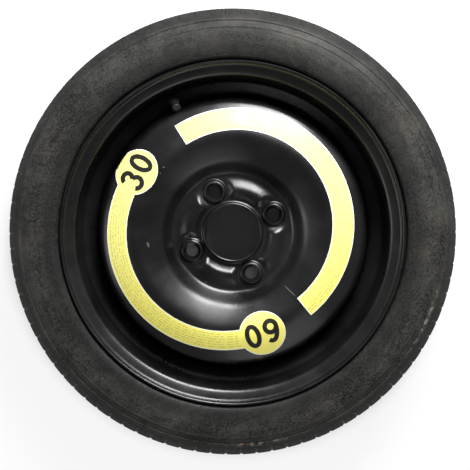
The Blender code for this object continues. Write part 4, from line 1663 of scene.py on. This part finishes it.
    def build(self, paint: Material) -> Piece:
        """Press the disc, raise its bosses and pierce it.

        Args:
            paint: The disc's finish.

        Returns:
            The disc.
        """
        section = sheet_section(self.front_line(), self.sheet, Edge.ROUND, Edge.SQUARE)
        mesh = turn_section(section, DISC_STEPS, self.press)
        mesh = self.change_bolts(mesh, Cut.ADD, self.boss_profile())
        face, below = self.mount_face_z, self.mount_face_z - self.sheet
        dimple = [
            (self.dimple_top, face + self.dimple_height),
            (self.dimple_outer, face),
            (self.dimple_outer, below),
            (self.dimple_inner, below),
            (self.dimple_inner, face + self.dimple_lip),
        ]
        mesh = self.change_bolts(mesh, Cut.REMOVE, dimple)
        top = self.floor_z + self.boss_height
        flare = tan(self.seat_half_angle)
        hole = [
            (0, top + self.sheet),
            (self.seat_top + self.sheet * flare, top + self.sheet),
            (self.hole_radius, top - (self.seat_top - self.hole_radius) / flare),
            (self.hole_radius, below),
            (0, below),
        ]
        return new_piece("disc_pressing", self.change_bolts(mesh, Cut.REMOVE, hole), paint)


@dataclass
class WeldBeads:
    """The rippled weld beads between the disc's flange and the rim's well."""

    disc: PressedDisc
    leg: float = 0.0034
    place_shares: tuple = (2 / 9, 5 / 9)
    length_share: float = 1 / 18
    ripples: int = 22
    steps_per_ripple: int = 4
    ripple_depth: float = 0.10
    end_taper: float = 9.0
    end_size: float = 0.25
    rows: int = 9
    flatness: float = 0.16

    def bead(self, start: float) -> Mesh:
        """Lay one bead.

        Args:
            start: The angle where it starts.

        Returns:
            The bead's mesh.
        """
        corner = (self.disc.rim.well_inner_radius() - FIT_GAP, self.disc.flange_end_z - FIT_GAP)
        columns = []
        for share in steps_from(0, 1, self.ripples * self.steps_per_ripple):
            taper = min(1.0, (1 - abs(2 * share - 1)) * self.end_taper + self.end_size)
            ripple = 1 - self.ripple_depth * (1 - abs(sin(pi * share * self.ripples)))
            column = [corner]
            for turn in steps_from(-pi / 2, -pi, self.rows - 1):
                bulge = 1 - self.flatness * sin(2 * (turn + pi / 2)) ** 2
                column.append(on_arc(corner, self.leg * taper * ripple * bulge, turn))
            angle = start + self.length_share * 2 * pi * share
            columns.append([round_axis(radius, z, angle) for radius, z in column])
        return skin_loops(columns, capped=True)

    def build(self, ring: GeometryTree, finish: Material) -> Piece:
        """Lay the beads of one quarter and repeat them round the wheel.

        Args:
            ring: The tree that repeats a sector.
            finish: The beads' finish.

        Returns:
            The beads.
        """
        quarter, half_step = 2 * pi / self.disc.bolt_count, pi / self.disc.rim.cad_steps
        beads = join_meshes(self.bead(share * quarter + half_step) for share in self.place_shares)
        mesh = ring.make(beads, Count=self.disc.bolt_count, Finish=finish)
        return new_piece("weld_beads", mesh, finish, sharp_angle=radians(60))


@dataclass
class Valve:
    """The snap-in valve: a rubber body, a brass stem with its core, and a ribbed cap."""

    rim: WheelRim
    body_outline: tuple = (
        (0.0043, 0.0150),
        (0.0046, 0.0144),
        (0.0049, 0.01125),
        (0.0055, 0.0075),
        (0.0059, 0.0057),
        (0.0060, 0.004225),
        (0.0066, 0.0028),
        (0.0074, 0.0018),
        (0.0074, 0.00075),
        (0.0071, 0.0003),
    )
    neck_height: float = 0.0150
    head_radius: float = 0.0082
    head_depth: float = 0.0046
    head_tip: float = 0.0050
    shank_radius: float = 0.0026
    thread_radius: float = 0.00385
    thread_length: float = 0.0087
    thread_pitch: float = 0.0008
    thread_depth_share: float = 0.35
    thread_wire_share: float = 0.40
    chamfer: float = 0.0006
    core_bore: float = 0.00275
    air_bore: float = 0.0019
    core_seat_depth: float = 0.0105
    core_seat_length: float = 0.0020
    core_top_depth: float = 0.0010
    core_head_length: float = 0.0055
    core_tube_length: float = 0.0095
    pin_radius: float = 0.00045
    pin_head_radius: float = 0.0010
    pin_head_length: float = 0.0006
    pin_crown_share: float = 0.7
    pin_edge_share: float = 0.35
    pin_seal_length: float = 0.0018
    spring_radius: float = 0.00105
    spring_wire: float = 0.00015
    spring_turns: float = 5.0
    pin_travel: float = 0.0013
    cap_wall: float = 0.0008
    cap_top: float = 0.0016
    cap_chamfer: float = 0.0011
    cap_crown_share: float = 0.45
    cap_crown_drop: float = 0.0001
    cap_rows: int = 8
    cap_ribs: int = 24
    rib_steps: int = 8
    flute_depth: float = 0.00035
    flute_foot: tuple = (0.0002, 0.0012)
    flute_head: tuple = (0.0012, 0.0024)
    flute_shares: tuple = (0.22, 0.5)

    @property
    def stem_top(self) -> float:
        """Give the height of the stem's open end above the rim's face."""
        return self.neck_height + FIT_GAP + self.thread_length

    @property
    def ledge(self) -> float:
        """Give the height of the ledge in the core that the spring stands on."""
        return self.stem_top - self.core_top_depth - self.core_head_length

    @property
    def pin_head(self) -> float:
        """Give the height of the underside of the pin's head."""
        return self.stem_top - self.core_top_depth - self.pin_head_length

    @property
    def cap_outer(self) -> float:
        """Give the cap's outer radius."""
        return self.thread_radius + FIT_GAP + self.cap_wall

    @property
    def cap_foot(self) -> float:
        """Give the height of the cap's open end."""
        return self.neck_height + FIT_GAP

    @property
    def cap_head(self) -> float:
        """Give the height of the cap's closed end."""
        return self.stem_top + FIT_GAP + self.cap_top

    def turned(self, name: str, profile: Sequence[Point], finish: Material) -> Piece:
        """Turn a closed profile on the valve's axis and place it on the rim.

        Args:
            name: The piece's name.
            profile: The closed profile.
            finish: The piece's finish.

        Returns:
            The piece.
        """
        return new_piece(name, moved_copy(turn_section(profile), self.rim.valve_frame()), finish)

    def body(self, rubber: Material) -> Piece:
        """Mould the rubber body, with two soft rings above its foot.

        Args:
            rubber: The body's finish.

        Returns:
            The body.
        """
        neck, bore = self.rim.valve_hole_radius - FIT_GAP, self.shank_radius + FIT_GAP
        top = -self.rim.sheet - FIT_GAP
        outside = soften([(bore, self.neck_height), *self.body_outline, (neck, FIT_GAP)], 2)
        head = [
            (neck, top),
            (self.head_radius, top),
            (self.head_radius, top - self.head_depth / 2),
            (self.head_tip, top - self.head_depth),
            (bore, top - self.head_depth),
        ]
        return self.turned("valve_rubber", outside + head, rubber)

    def stem(self, coil: GeometryTree, brass: Material) -> Piece:
        """Turn the brass stem and wind its thread.

        Args:
            coil: The tree that winds a wire.
            brass: The stem's finish.

        Returns:
            The stem.
        """
        top, shoulder = self.stem_top, self.neck_height + FIT_GAP
        root = self.thread_radius - self.thread_pitch * self.thread_depth_share
        end = -self.rim.sheet - FIT_GAP - self.head_depth
        seat = top - self.core_seat_depth
        profile = [
            (self.core_bore, top),
            (root - self.chamfer / 2, top),
            (root, top - self.chamfer),
            (root, shoulder),
            (self.shank_radius, shoulder),
            (self.shank_radius, end),
            (self.air_bore, end),
            (self.air_bore, seat),
            (self.core_bore, seat + self.core_seat_length),
        ]
        wire = self.thread_pitch * self.thread_wire_share
        height = self.thread_length - self.chamfer - 2 * wire
        thread = coil.make(
            None,
            Radius=self.thread_radius - wire,
            Height=height,
            Turns=height / self.thread_pitch,
            Wire_Radius=wire,
            Finish=brass,
        )
        thread.transform(Matrix.Translation((0, 0, shoulder + wire)))
        mesh = join_meshes((turn_section(profile), thread))
        mesh.transform(self.rim.valve_frame())
        return new_piece("valve_stem_brass", mesh, brass)

    def pin(self, brass: Material) -> Piece:
        """Turn the core's pin, with its head slightly crowned.

        Args:
            brass: The pin's finish.

        Returns:
            The pin.
        """
        top = self.pin_head + self.pin_head_length
        end = self.ledge - self.core_tube_length - FIT_GAP - self.pin_seal_length
        profile = [
            (0, top),
            (self.pin_head_radius * self.pin_crown_share, top),
            (self.pin_head_radius, top - self.pin_head_length * self.pin_edge_share),
            (self.pin_head_radius, self.pin_head),
            (self.pin_radius, self.pin_head),
            (self.pin_radius, end),
            (0, end),
        ]
        return self.turned("valve_pin", profile, brass)

    def spring(self, coil: GeometryTree, steel: Material) -> Piece:
        """Wind the core's spring between its ledge and the pin's head.

        Args:
            coil: The tree that winds a wire.
            steel: The spring's finish.

        Returns:
            The spring.
        """
        low = self.ledge + FIT_GAP + self.spring_wire
        high = self.pin_head - FIT_GAP - self.spring_wire
        mesh = coil.make(
            None,
            Radius=self.spring_radius,
            Height=high - low,
            Turns=self.spring_turns,
            Wire_Radius=self.spring_wire,
            Finish=steel,
        )
        mesh.transform(self.rim.valve_frame() @ Matrix.Translation((0, 0, low)))
        return new_piece("core_spring", mesh, steel)

    def flute(self, radius: float, z: float, angle: float) -> Point:
        """Sink a point of the cap's side into a flute between two ribs, apart from the cap's ends.

        Args:
            radius: The point's radius.
            z: Its height.
            angle: The angle of its column from the middle of a rib.

        Returns:
            The point's new radius and height.
        """
        if radius < self.cap_outer - self.cap_wall / 2:
            return radius, z
        first, last = (2 * pi / self.cap_ribs * share for share in self.flute_shares)
        depth = self.flute_depth * smooth_step(*(self.cap_foot + rise for rise in self.flute_foot), z)
        depth *= smooth_step(*(self.cap_head - drop for drop in self.flute_head), z)
        return radius - depth * smooth_step(first, last, abs(angle)), z

    def cap(self, ring: GeometryTree, plastic: Material) -> Piece:
        """Mould one rib of the cap and repeat it round the valve's axis.

        Args:
            ring: The tree that repeats a sector.
            plastic: The cap's finish.

        Returns:
            The cap.
        """
        bore, outer = self.thread_radius + FIT_GAP, self.cap_outer
        foot, top, ceiling = self.cap_foot, self.cap_head, self.stem_top + FIT_GAP
        side = [(outer, z) for z in steps_from(top - self.cap_chamfer, foot, self.cap_rows)]
        crown = [(0, top), (outer * self.cap_crown_share, top)]
        crown += [(outer - self.cap_chamfer, top - self.cap_crown_drop), side[0]]
        profile = soften(crown) + side[1:] + [(bore, foot), (bore, ceiling), (0, ceiling)]
        half = pi / self.cap_ribs
        sector = sweep_section(profile, steps_from(-half, half, self.rib_steps), self.flute)
        mesh = ring.make(sector, Count=self.cap_ribs, Finish=plastic)
        mesh.transform(self.rim.valve_frame())
        return new_piece("valve_cap_ribbed", mesh, plastic, sharp_angle=radians(50))


@dataclass
class Stickers:
    """The two yellow stickers on the crown."""

    disc: PressedDisc
    thickness: float = 0.0003
    skin_gap: float = FIT_GAP
    numbered: ArcBand = ArcBand((-0.01075, 0.0034), 0.1159, 0.1398, radians(120.1), radians(267.3))
    plain: ArcBand = ArcBand((0.00955, 0.0070), 0.1135, 0.1402, radians(-75.2), radians(98.4))
    field_radius: float = 0.0282
    field_squashes: tuple = (0.88, 0.95)
    band_steps: int = 120
    field_steps: int = 72

    def ends(self) -> tuple[RoundEnd, ...]:
        """Give the two round fields of the numbered sticker.

        Returns:
            The fields.
        """
        band = self.numbered
        ends = []
        for angle, squash in zip((band.start, band.end), self.field_squashes):
            centre = on_arc(band.centre, (band.inner + band.outer) / 2, angle)
            ends.append(RoundEnd(centre, self.field_radius, squash))
        return tuple(ends)

    def skin(self) -> Mesh:
        """Make the thin ring over the bowl and the crown that the stickers are cut from.

        Returns:
            The ring.
        """
        face = self.disc.surface()
        under, upper = (offset_line(face, -self.skin_gap - rise) for rise in (0.0, self.thickness))
        return turn_section(upper + under[::-1], DISC_STEPS * 2)

    def prism(self, outline: Sequence[Point]) -> Mesh:
        """Raise an outline on the wheel's plane to an upright block.

        Args:
            outline: The outline.

        Returns:
            The block, from below the crown to above it.
        """
        heights = (self.disc.flange_top_z, self.disc.crest[1] + self.disc.sheet)
        return skin_loops([[(x, y, z) for x, y in outline] for z in heights], capped=True)

    def build_numbered(self, film: Material) -> Piece:
        """Cut the sticker with the two round fields.

        Args:
            film: The sticker's finish.

        Returns:
            The sticker.
        """
        block = self.prism(self.numbered.outline(self.band_steps))
        for index, end in enumerate(self.ends(), 1):
            lift = Matrix.Translation((0, 0, FIT_GAP * index))
            block = combine(block, Cut.ADD, moved_copy(self.prism(end.outline(self.field_steps)), lift))
        return new_piece("numbered_film", combine(self.skin(), Cut.TRIM, block), film)

    def build_plain(self, film: Material) -> Piece:
        """Cut the plain curved sticker.

        Args:
            film: The sticker's finish.

        Returns:
            The sticker.
        """
        block = self.prism(self.plain.outline(self.band_steps))
        return new_piece("plain_film", combine(self.skin(), Cut.TRIM, block), film)


@dataclass(frozen=True)
class Stroke:
    """A part of an ellipse in a digit, in shares of the digit's half width and half height."""

    centre: Point
    radii: Point
    start: float = 0.0
    end: float = 2 * pi

    @property
    def closed(self) -> bool:
        """Say whether the stroke is a loop."""
        return self.end - self.start == 2 * pi

    def line(self, across: float, up: float, steps: int) -> list[Point]:
        """Give the stroke's middle line.

        Args:
            across: The digit's half width.
            up: Its half height.
            steps: How many parts the line has.

        Returns:
            The points, without the last one where it is the first one again.
        """
        points = []
        for angle in steps_from(self.start, self.end, steps):
            x, y = self.centre[0] + self.radii[0] * cos(angle), self.centre[1] + self.radii[1] * sin(angle)
            points.append((across * x, up * y))
        return points[:-1] if self.closed else points


@dataclass
class Numerals:
    """Two plain numbers printed on the round fields, drawn as broad strokes."""

    stickers: Stickers
    height: float = 0.0300
    width: float = 0.0192
    stroke: float = 0.0056
    spacing: float = 0.0232
    print_thickness: float = 0.00008
    print_lift_share: float = 0.75
    arc_steps: int = 40
    lanes: int = 4
    reading_angles: tuple = (radians(39.6), radians(174.3))
    numbers: tuple = ("30", "60")
    digits: dict = field(
        default_factory=lambda: {
            "0": (Stroke((0.0, 0.0), (1.0, 1.0)),),
            "3": (
                Stroke((0.0, 0.54), (0.90, 0.46), radians(165), radians(-75)),
                Stroke((0.0, -0.46), (1.0, 0.54), radians(75), radians(-165)),
            ),
            "6": (
                Stroke((0.0, -0.42), (1.0, 0.58)),
                Stroke((0.25, -0.42), (1.25, 1.42), radians(180), radians(62)),
            ),
        }
    )

    def height_on(self, face: Sequence[Point], radius: float, gap: float) -> float:
        """Give the height of a point that lies a gap off the disc's sloping face.

        Args:
            face: The face's points, as radius and height.
            radius: The point's radius.
            gap: How far off the face it lies.

        Returns:
            The point's height.
        """
        index = min(max(bisect_left(face, (radius,)), 1), len(face) - 1)
        before, after = face[index - 1 : index + 1]
        slope = (after[1] - before[1]) / (after[0] - before[0])
        return before[1] + (radius - before[0]) * slope + gap * hypot(1, slope)

    def stroke_mesh(self, stroke: Stroke, place: Matrix) -> Mesh:
        """Draw one broad stroke on the sticker's surface.

        Args:
            stroke: The stroke.
            place: Where the digit stands on the wheel's plane.

        Returns:
            The stroke as a thin closed solid.
        """
        face, half = self.stickers.disc.surface(), self.print_thickness / 2
        top = self.stickers.skin_gap + self.stickers.thickness + self.print_thickness * self.print_lift_share
        line = stroke.line((self.width - self.stroke) / 2, (self.height - self.stroke) / 2, self.arc_steps)
        last = len(line) - 1
        outs = steps_from(-self.stroke / 2, self.stroke / 2, self.lanes)
        loops = []
        for index, point in enumerate(line):
            before = line[index - 1] if stroke.closed or index else point
            after = line[(index + 1) % len(line)] if stroke.closed or index < last else point
            run = Vector((after[0] - before[0], after[1] - before[1])).normalized()
            loop = []
            for out, rise in [(out, half) for out in outs] + [(out, -half) for out in outs[::-1]]:
                x, y, _ = place @ Vector((point[0] - run.y * out, point[1] + run.x * out, 0))
                loop.append((x, y, self.height_on(face, hypot(x, y), top + rise)))
            loops.append(loop)
        return skin_loops(loops, stroke.closed, capped=not stroke.closed)

    def build(self, ink: Material) -> Piece:
        """Draw both numbers as one piece.

        Args:
            ink: The numbers' finish.

        Returns:
            The numbers.
        """
        meshes = []
        for end, angle, number in zip(self.stickers.ends(), self.reading_angles, self.numbers):
            start = Matrix.Translation((*end.centre, 0)) @ Matrix.Rotation(angle, 4, "Z")
            for index, digit in enumerate(number):
                along = (index - (len(number) - 1) / 2) * self.spacing
                place = start @ Matrix.Translation((along, 0, 0))
                meshes += [self.stroke_mesh(stroke, place) for stroke in self.digits[digit]]
        return new_piece("printed_numerals", join_meshes(meshes), ink)


# Stage


@dataclass(frozen=True)
class Viewpoint:
    """Where the photograph was taken from."""

    photo: PhotoFrame
    distance: float = 2.10
    tilt: float = radians(2.6)
    front_scale: float = 0.001194
    front_z: float = 0.0575
    centre_column: float = 232.7
    centre_row: float = 233.5
    sensor: float = 36.0
    clip_end: float = 50.0

    def build(self) -> None:
        """Make the camera and set it as the scene's."""
        data = bpy.data.cameras.new("photo_camera")
        data.sensor_width = self.sensor
        data.lens = self.distance / self.front_scale * self.sensor / self.photo.size
        data.clip_end = self.clip_end
        camera = link(bpy.data.objects.new("photo_camera", data))
        roll = Matrix.Rotation(-self.photo.roll, 3, "Z")
        middle = self.photo.size / 2
        shift = Vector((middle - self.centre_column, self.centre_row - middle, 0)) * self.front_scale
        back = (roll @ Vector((0, sin(self.tilt), cos(self.tilt)))).normalized()
        right = (roll @ Vector((0, 1, 0))).cross(back).normalized()
        camera.location = roll @ shift + Vector((0, 0, self.front_z)) + back * self.distance
        camera.rotation_euler = Matrix((right, back.cross(right), back)).transposed().to_euler()
        bpy.context.scene.camera = camera


@dataclass(frozen=True)
class SoftBox:
    """A rectangular soft lamp that points at the wheel."""

    name: str
    image_angle: float
    off_axis: float
    distance: float
    width: float
    height: float
    power: float

    def build(self, photo: PhotoFrame) -> None:
        """Hang the lamp.

        Args:
            photo: How the wheel lies in the photograph, whose angles place the lamp.
        """
        data = bpy.data.lights.new(self.name, "AREA")
        data.shape = "RECTANGLE"
        data.size, data.size_y = self.width, self.height
        data.energy = self.power
        lamp = link(bpy.data.objects.new(self.name, data))
        way = Vector(round_axis(sin(self.off_axis), cos(self.off_axis), self.image_angle - photo.roll))
        lamp.location = way * self.distance
        lamp.rotation_euler = way.to_track_quat("Z", "Y").to_euler()


@dataclass(frozen=True)
class Studio:
    """The pale floor, the world and the lamps."""

    photo: PhotoFrame
    zenith_strength: float = 0.16
    horizon_strength: float = 0.28
    zenith_from: float = 0.9
    floor_size: float = 12.0
    floor_z: float = CAD_BOUNDS[0][2]
    floor_gap: float = 0.0005
    floor_colour: tuple = (0.90, 0.90, 0.90, 1.0)
    floor_roughness: float = 0.9
    floor_specular: float = 0.1
    glow_share: float = 0.88
    clear_radii: tuple = (0.246, 0.30)
    lamps: tuple = (
        SoftBox("key_box", radians(72), radians(58), 2.4, 1.2, 1.3, 150.0),
        SoftBox("side_box", radians(190), radians(62), 2.6, 1.2, 1.2, 14.0),
        SoftBox("fill_box", radians(74), radians(43), 2.6, 0.8, 0.7, 12.0),
        SoftBox("low_box", radians(290), radians(60), 2.6, 1.8, 1.6, 12.0),
    )

    def floor_finish(self) -> Material:
        """Make the floor's finish. Away from the wheel it shows as a plain pale ground.

        Returns:
            The material.
        """
        material = bpy.data.materials.new("pale_floor")
        material.use_nodes = True
        shader, nodes = ShaderTree(material.node_tree), material.node_tree.nodes
        matt = shader.fill(nodes["Principled BSDF"], Base_Color=self.floor_colour)
        shader.fill(matt, Roughness=self.floor_roughness, Specular_IOR_Level=self.floor_specular)
        glow = shader.node("ShaderNodeEmission", Color=WHITE)
        path = shader.node("ShaderNodeLightPath").outputs
        rays = [path[f"Is {kind} Ray"] for kind in ("Camera", "Glossy", "Transmission")]
        seen = shader.fold("ADD", rays, clamp=True)
        away = shader.vector("LENGTH", shader.flatten(shader.place()))
        share = shader.math("MULTIPLY", seen, shader.ramp(away, *self.clear_radii, 0.0, self.glow_share))
        mixed = shader.in_order("ShaderNodeMixShader", {}, (share, matt.outputs[0], glow.outputs[0]))
        shader.fill(nodes["Material Output"], Surface=mixed.outputs[0])
        return material

    def build_floor(self) -> None:
        """Lay the floor."""
        shape = bmesh.new()
        bmesh.ops.create_grid(shape, x_segments=1, y_segments=1, size=self.floor_size / 2)
        mesh = plain_mesh(shape)
        mesh.transform(Matrix.Translation((0, 0, self.floor_z - self.floor_gap)))
        mesh.materials.append(self.floor_finish())
        link(bpy.data.objects.new("floor", mesh))

    def build_world(self) -> None:
        """Light the scene evenly, and show white where the camera sees past the floor."""
        world = bpy.data.worlds.new("studio")
        bpy.context.scene.world = world
        world.use_nodes = True
        shader = ShaderTree(world.node_tree)
        seen = shader.node("ShaderNodeLightPath").outputs["Is Camera Ray"]
        way = shader.split(shader.node("ShaderNodeTexCoord").outputs["Generated"])
        sky = shader.ramp(way["Z"], 0.0, self.zenith_from, self.horizon_strength, self.zenith_strength)
        strength = shader.math("MAXIMUM", sky, seen)
        shader.fill(world.node_tree.nodes["Background"], Color=WHITE, Strength=strength)

    def build(self) -> None:
        """Set up the floor, the world and the lamps."""
        self.build_floor()
        self.build_world()
        for lamp in self.lamps:
            lamp.build(self.photo)
        bpy.context.scene.view_settings.view_transform = "Standard"


# Assembly


@dataclass
class SpareWheel:
    """The whole wheel. It builds the sub-assemblies in order and puts each piece on its body."""

    photo: PhotoFrame = field(default_factory=PhotoFrame)
    groups: Groups = field(init=False)
    ring: GeometryTree = field(init=False)
    coil: GeometryTree = field(init=False)

    def __post_init__(self) -> None:
        """Build the node groups and trees that the pieces share."""
        self.groups = Groups(build_dust_group(), build_round_group(), build_streak_group(), self.photo)
        self.ring = build_ring_tree()
        self.coil = build_coil_tree()

    def finish(self, finish: Finish) -> Material:
        """Build a finish."""
        return finish.build(self.groups)

    def place(self, piece: Piece, body: Body, slot: str, *nodes: str) -> Piece:
        """Put a piece on its body and hide the solids that it replaces.

        Args:
            piece: The piece.
            body: The body that it rides on.
            slot: The record's material slot that its finish belongs to. Not used.
            nodes: The solids that it replaces.

        Returns:
            The piece.
        """
        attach(piece, body.value)
        if nodes:
            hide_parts(*nodes)
        LOG.info("%s on %s: %d faces", piece.name, body.value, len(piece.data.polygons))
        return piece

    def dress_node(self, node: str, finish: Material) -> None:
        """Give a solid that stays in the scene a finish.

        Args:
            node: The solid's node.
            finish: The finish.
        """
        for material_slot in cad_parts[node].material_slots:
            material_slot.material = finish
        LOG.info("%s keeps its solid", node)

    def build_wheel(self, rim: WheelRim) -> None:
        """Build the tyre, the rim, the disc and its welds.

        Args:
            rim: The rim that they lie on.
        """
        rubber = self.finish(TyreRubber("worn_tyre_rubber"))
        paint = self.finish(GlossPaint("black_gloss_enamel"))
        weld_look = {"colour": (0.006, 0.006, 0.006, 1.0), "roughness": (0.28, 0.55)}
        weld = self.finish(PlainFinish("painted_weld_bead", **weld_look))
        disc = PressedDisc(rim)
        beads = WeldBeads(disc)
        welds = [f"disc_weld_{index + 1}" for index in range(disc.bolt_count * len(beads.place_shares))]
        self.place(Tyre(rim).build(self.ring, rubber), Body.WHEEL, "tyre_rubber", "tyre")
        self.place(rim.build(paint), Body.WHEEL, "black_gloss_paint", "wheel_rim")
        self.place(disc.build(paint), Body.WHEEL, "black_gloss_paint", "wheel_disc")
        self.place(beads.build(self.ring, weld), Body.WHEEL, "painted_weld", *welds)
        self.build_stickers(disc)

    def build_stickers(self, disc: PressedDisc) -> None:
        """Build the stickers and their numerals.

        Args:
            disc: The disc that they lie on.
        """
        stickers = Stickers(disc)
        numbered_look = {"band": stickers.numbered, "ends": stickers.ends()}
        numbered = self.finish(StickerFilm("numbered_sticker_film", **numbered_look))
        plain = self.finish(StickerFilm("plain_sticker_film", band=stickers.plain))
        ink_look = {"colour": (0.010, 0.010, 0.009, 1.0), "roughness": (0.55, 0.70), "dust_cover": 0.1}
        ink = self.finish(PlainFinish("black_print", specular=0.2, **ink_look))
        self.place(stickers.build_numbered(numbered), Body.WHEEL, "sticker_film", "sticker_numbered")
        self.place(stickers.build_plain(plain), Body.WHEEL, "sticker_film", "sticker_plain")
        self.place(Numerals(stickers).build(ink), Body.WHEEL, "sticker_film")

    def build_valve(self, rim: WheelRim) -> None:
        """Build the valve and dress the small solids inside it.

        Args:
            rim: The rim that it is snapped into.
        """
        valve = Valve(rim)
        brass_look = {"colour": (0.62, 0.42, 0.17, 1.0), "dusty": (0.30, 0.22, 0.12, 1.0)}
        steel_look = {"colour": (0.55, 0.55, 0.56, 1.0), "dusty": (0.30, 0.30, 0.30, 1.0)}
        rubber = self.finish(PlainFinish("valve_black_rubber"))
        plastic = self.finish(PlainFinish("cap_black_plastic", specular=0.2))
        brass = self.finish(PlainFinish("turned_brass", metallic=1.0, roughness=(0.25, 0.42), **brass_look))
        steel = self.finish(PlainFinish("bright_wire", metallic=1.0, roughness=(0.22, 0.35), **steel_look))
        seal = self.finish(PlainFinish("red_seal_rubber", colour=(0.10, 0.015, 0.012, 1.0)))
        self.place(valve.body(rubber), Body.WHEEL, "valve_rubber", "valve_body")
        self.place(valve.stem(self.coil, brass), Body.WHEEL, "valve_brass", "valve_stem")
        self.place(valve.cap(self.ring, plastic), Body.CAP, "cap_plastic", "valve_cap")
        self.place(valve.pin(brass), Body.CORE_PIN, "valve_brass", "valve_core_pin")
        spring = self.place(valve.spring(self.coil, steel), Body.WHEEL, "spring_steel", "valve_core_spring")
        along = rim.valve_frame()
        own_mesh(spring)
        self.dress_node("valve_core_barrel", brass)
        self.dress_node("valve_core_seal", seal)
        self.dress_node("valve_pin_seal", seal)

    def build(self) -> None:
        """Build every piece."""
        rim = WheelRim()
        self.build_wheel(rim)
        self.build_valve(rim)


def main() -> None:
    """Build the stage and the wheel."""
    logging.basicConfig(level=logging.INFO, format="%(name)s: %(message)s")
    wheel = SpareWheel()
    Viewpoint(wheel.photo).build()
    Studio(wheel.photo).build()
    wheel.build()


if __name__ == "__main__":
    main()
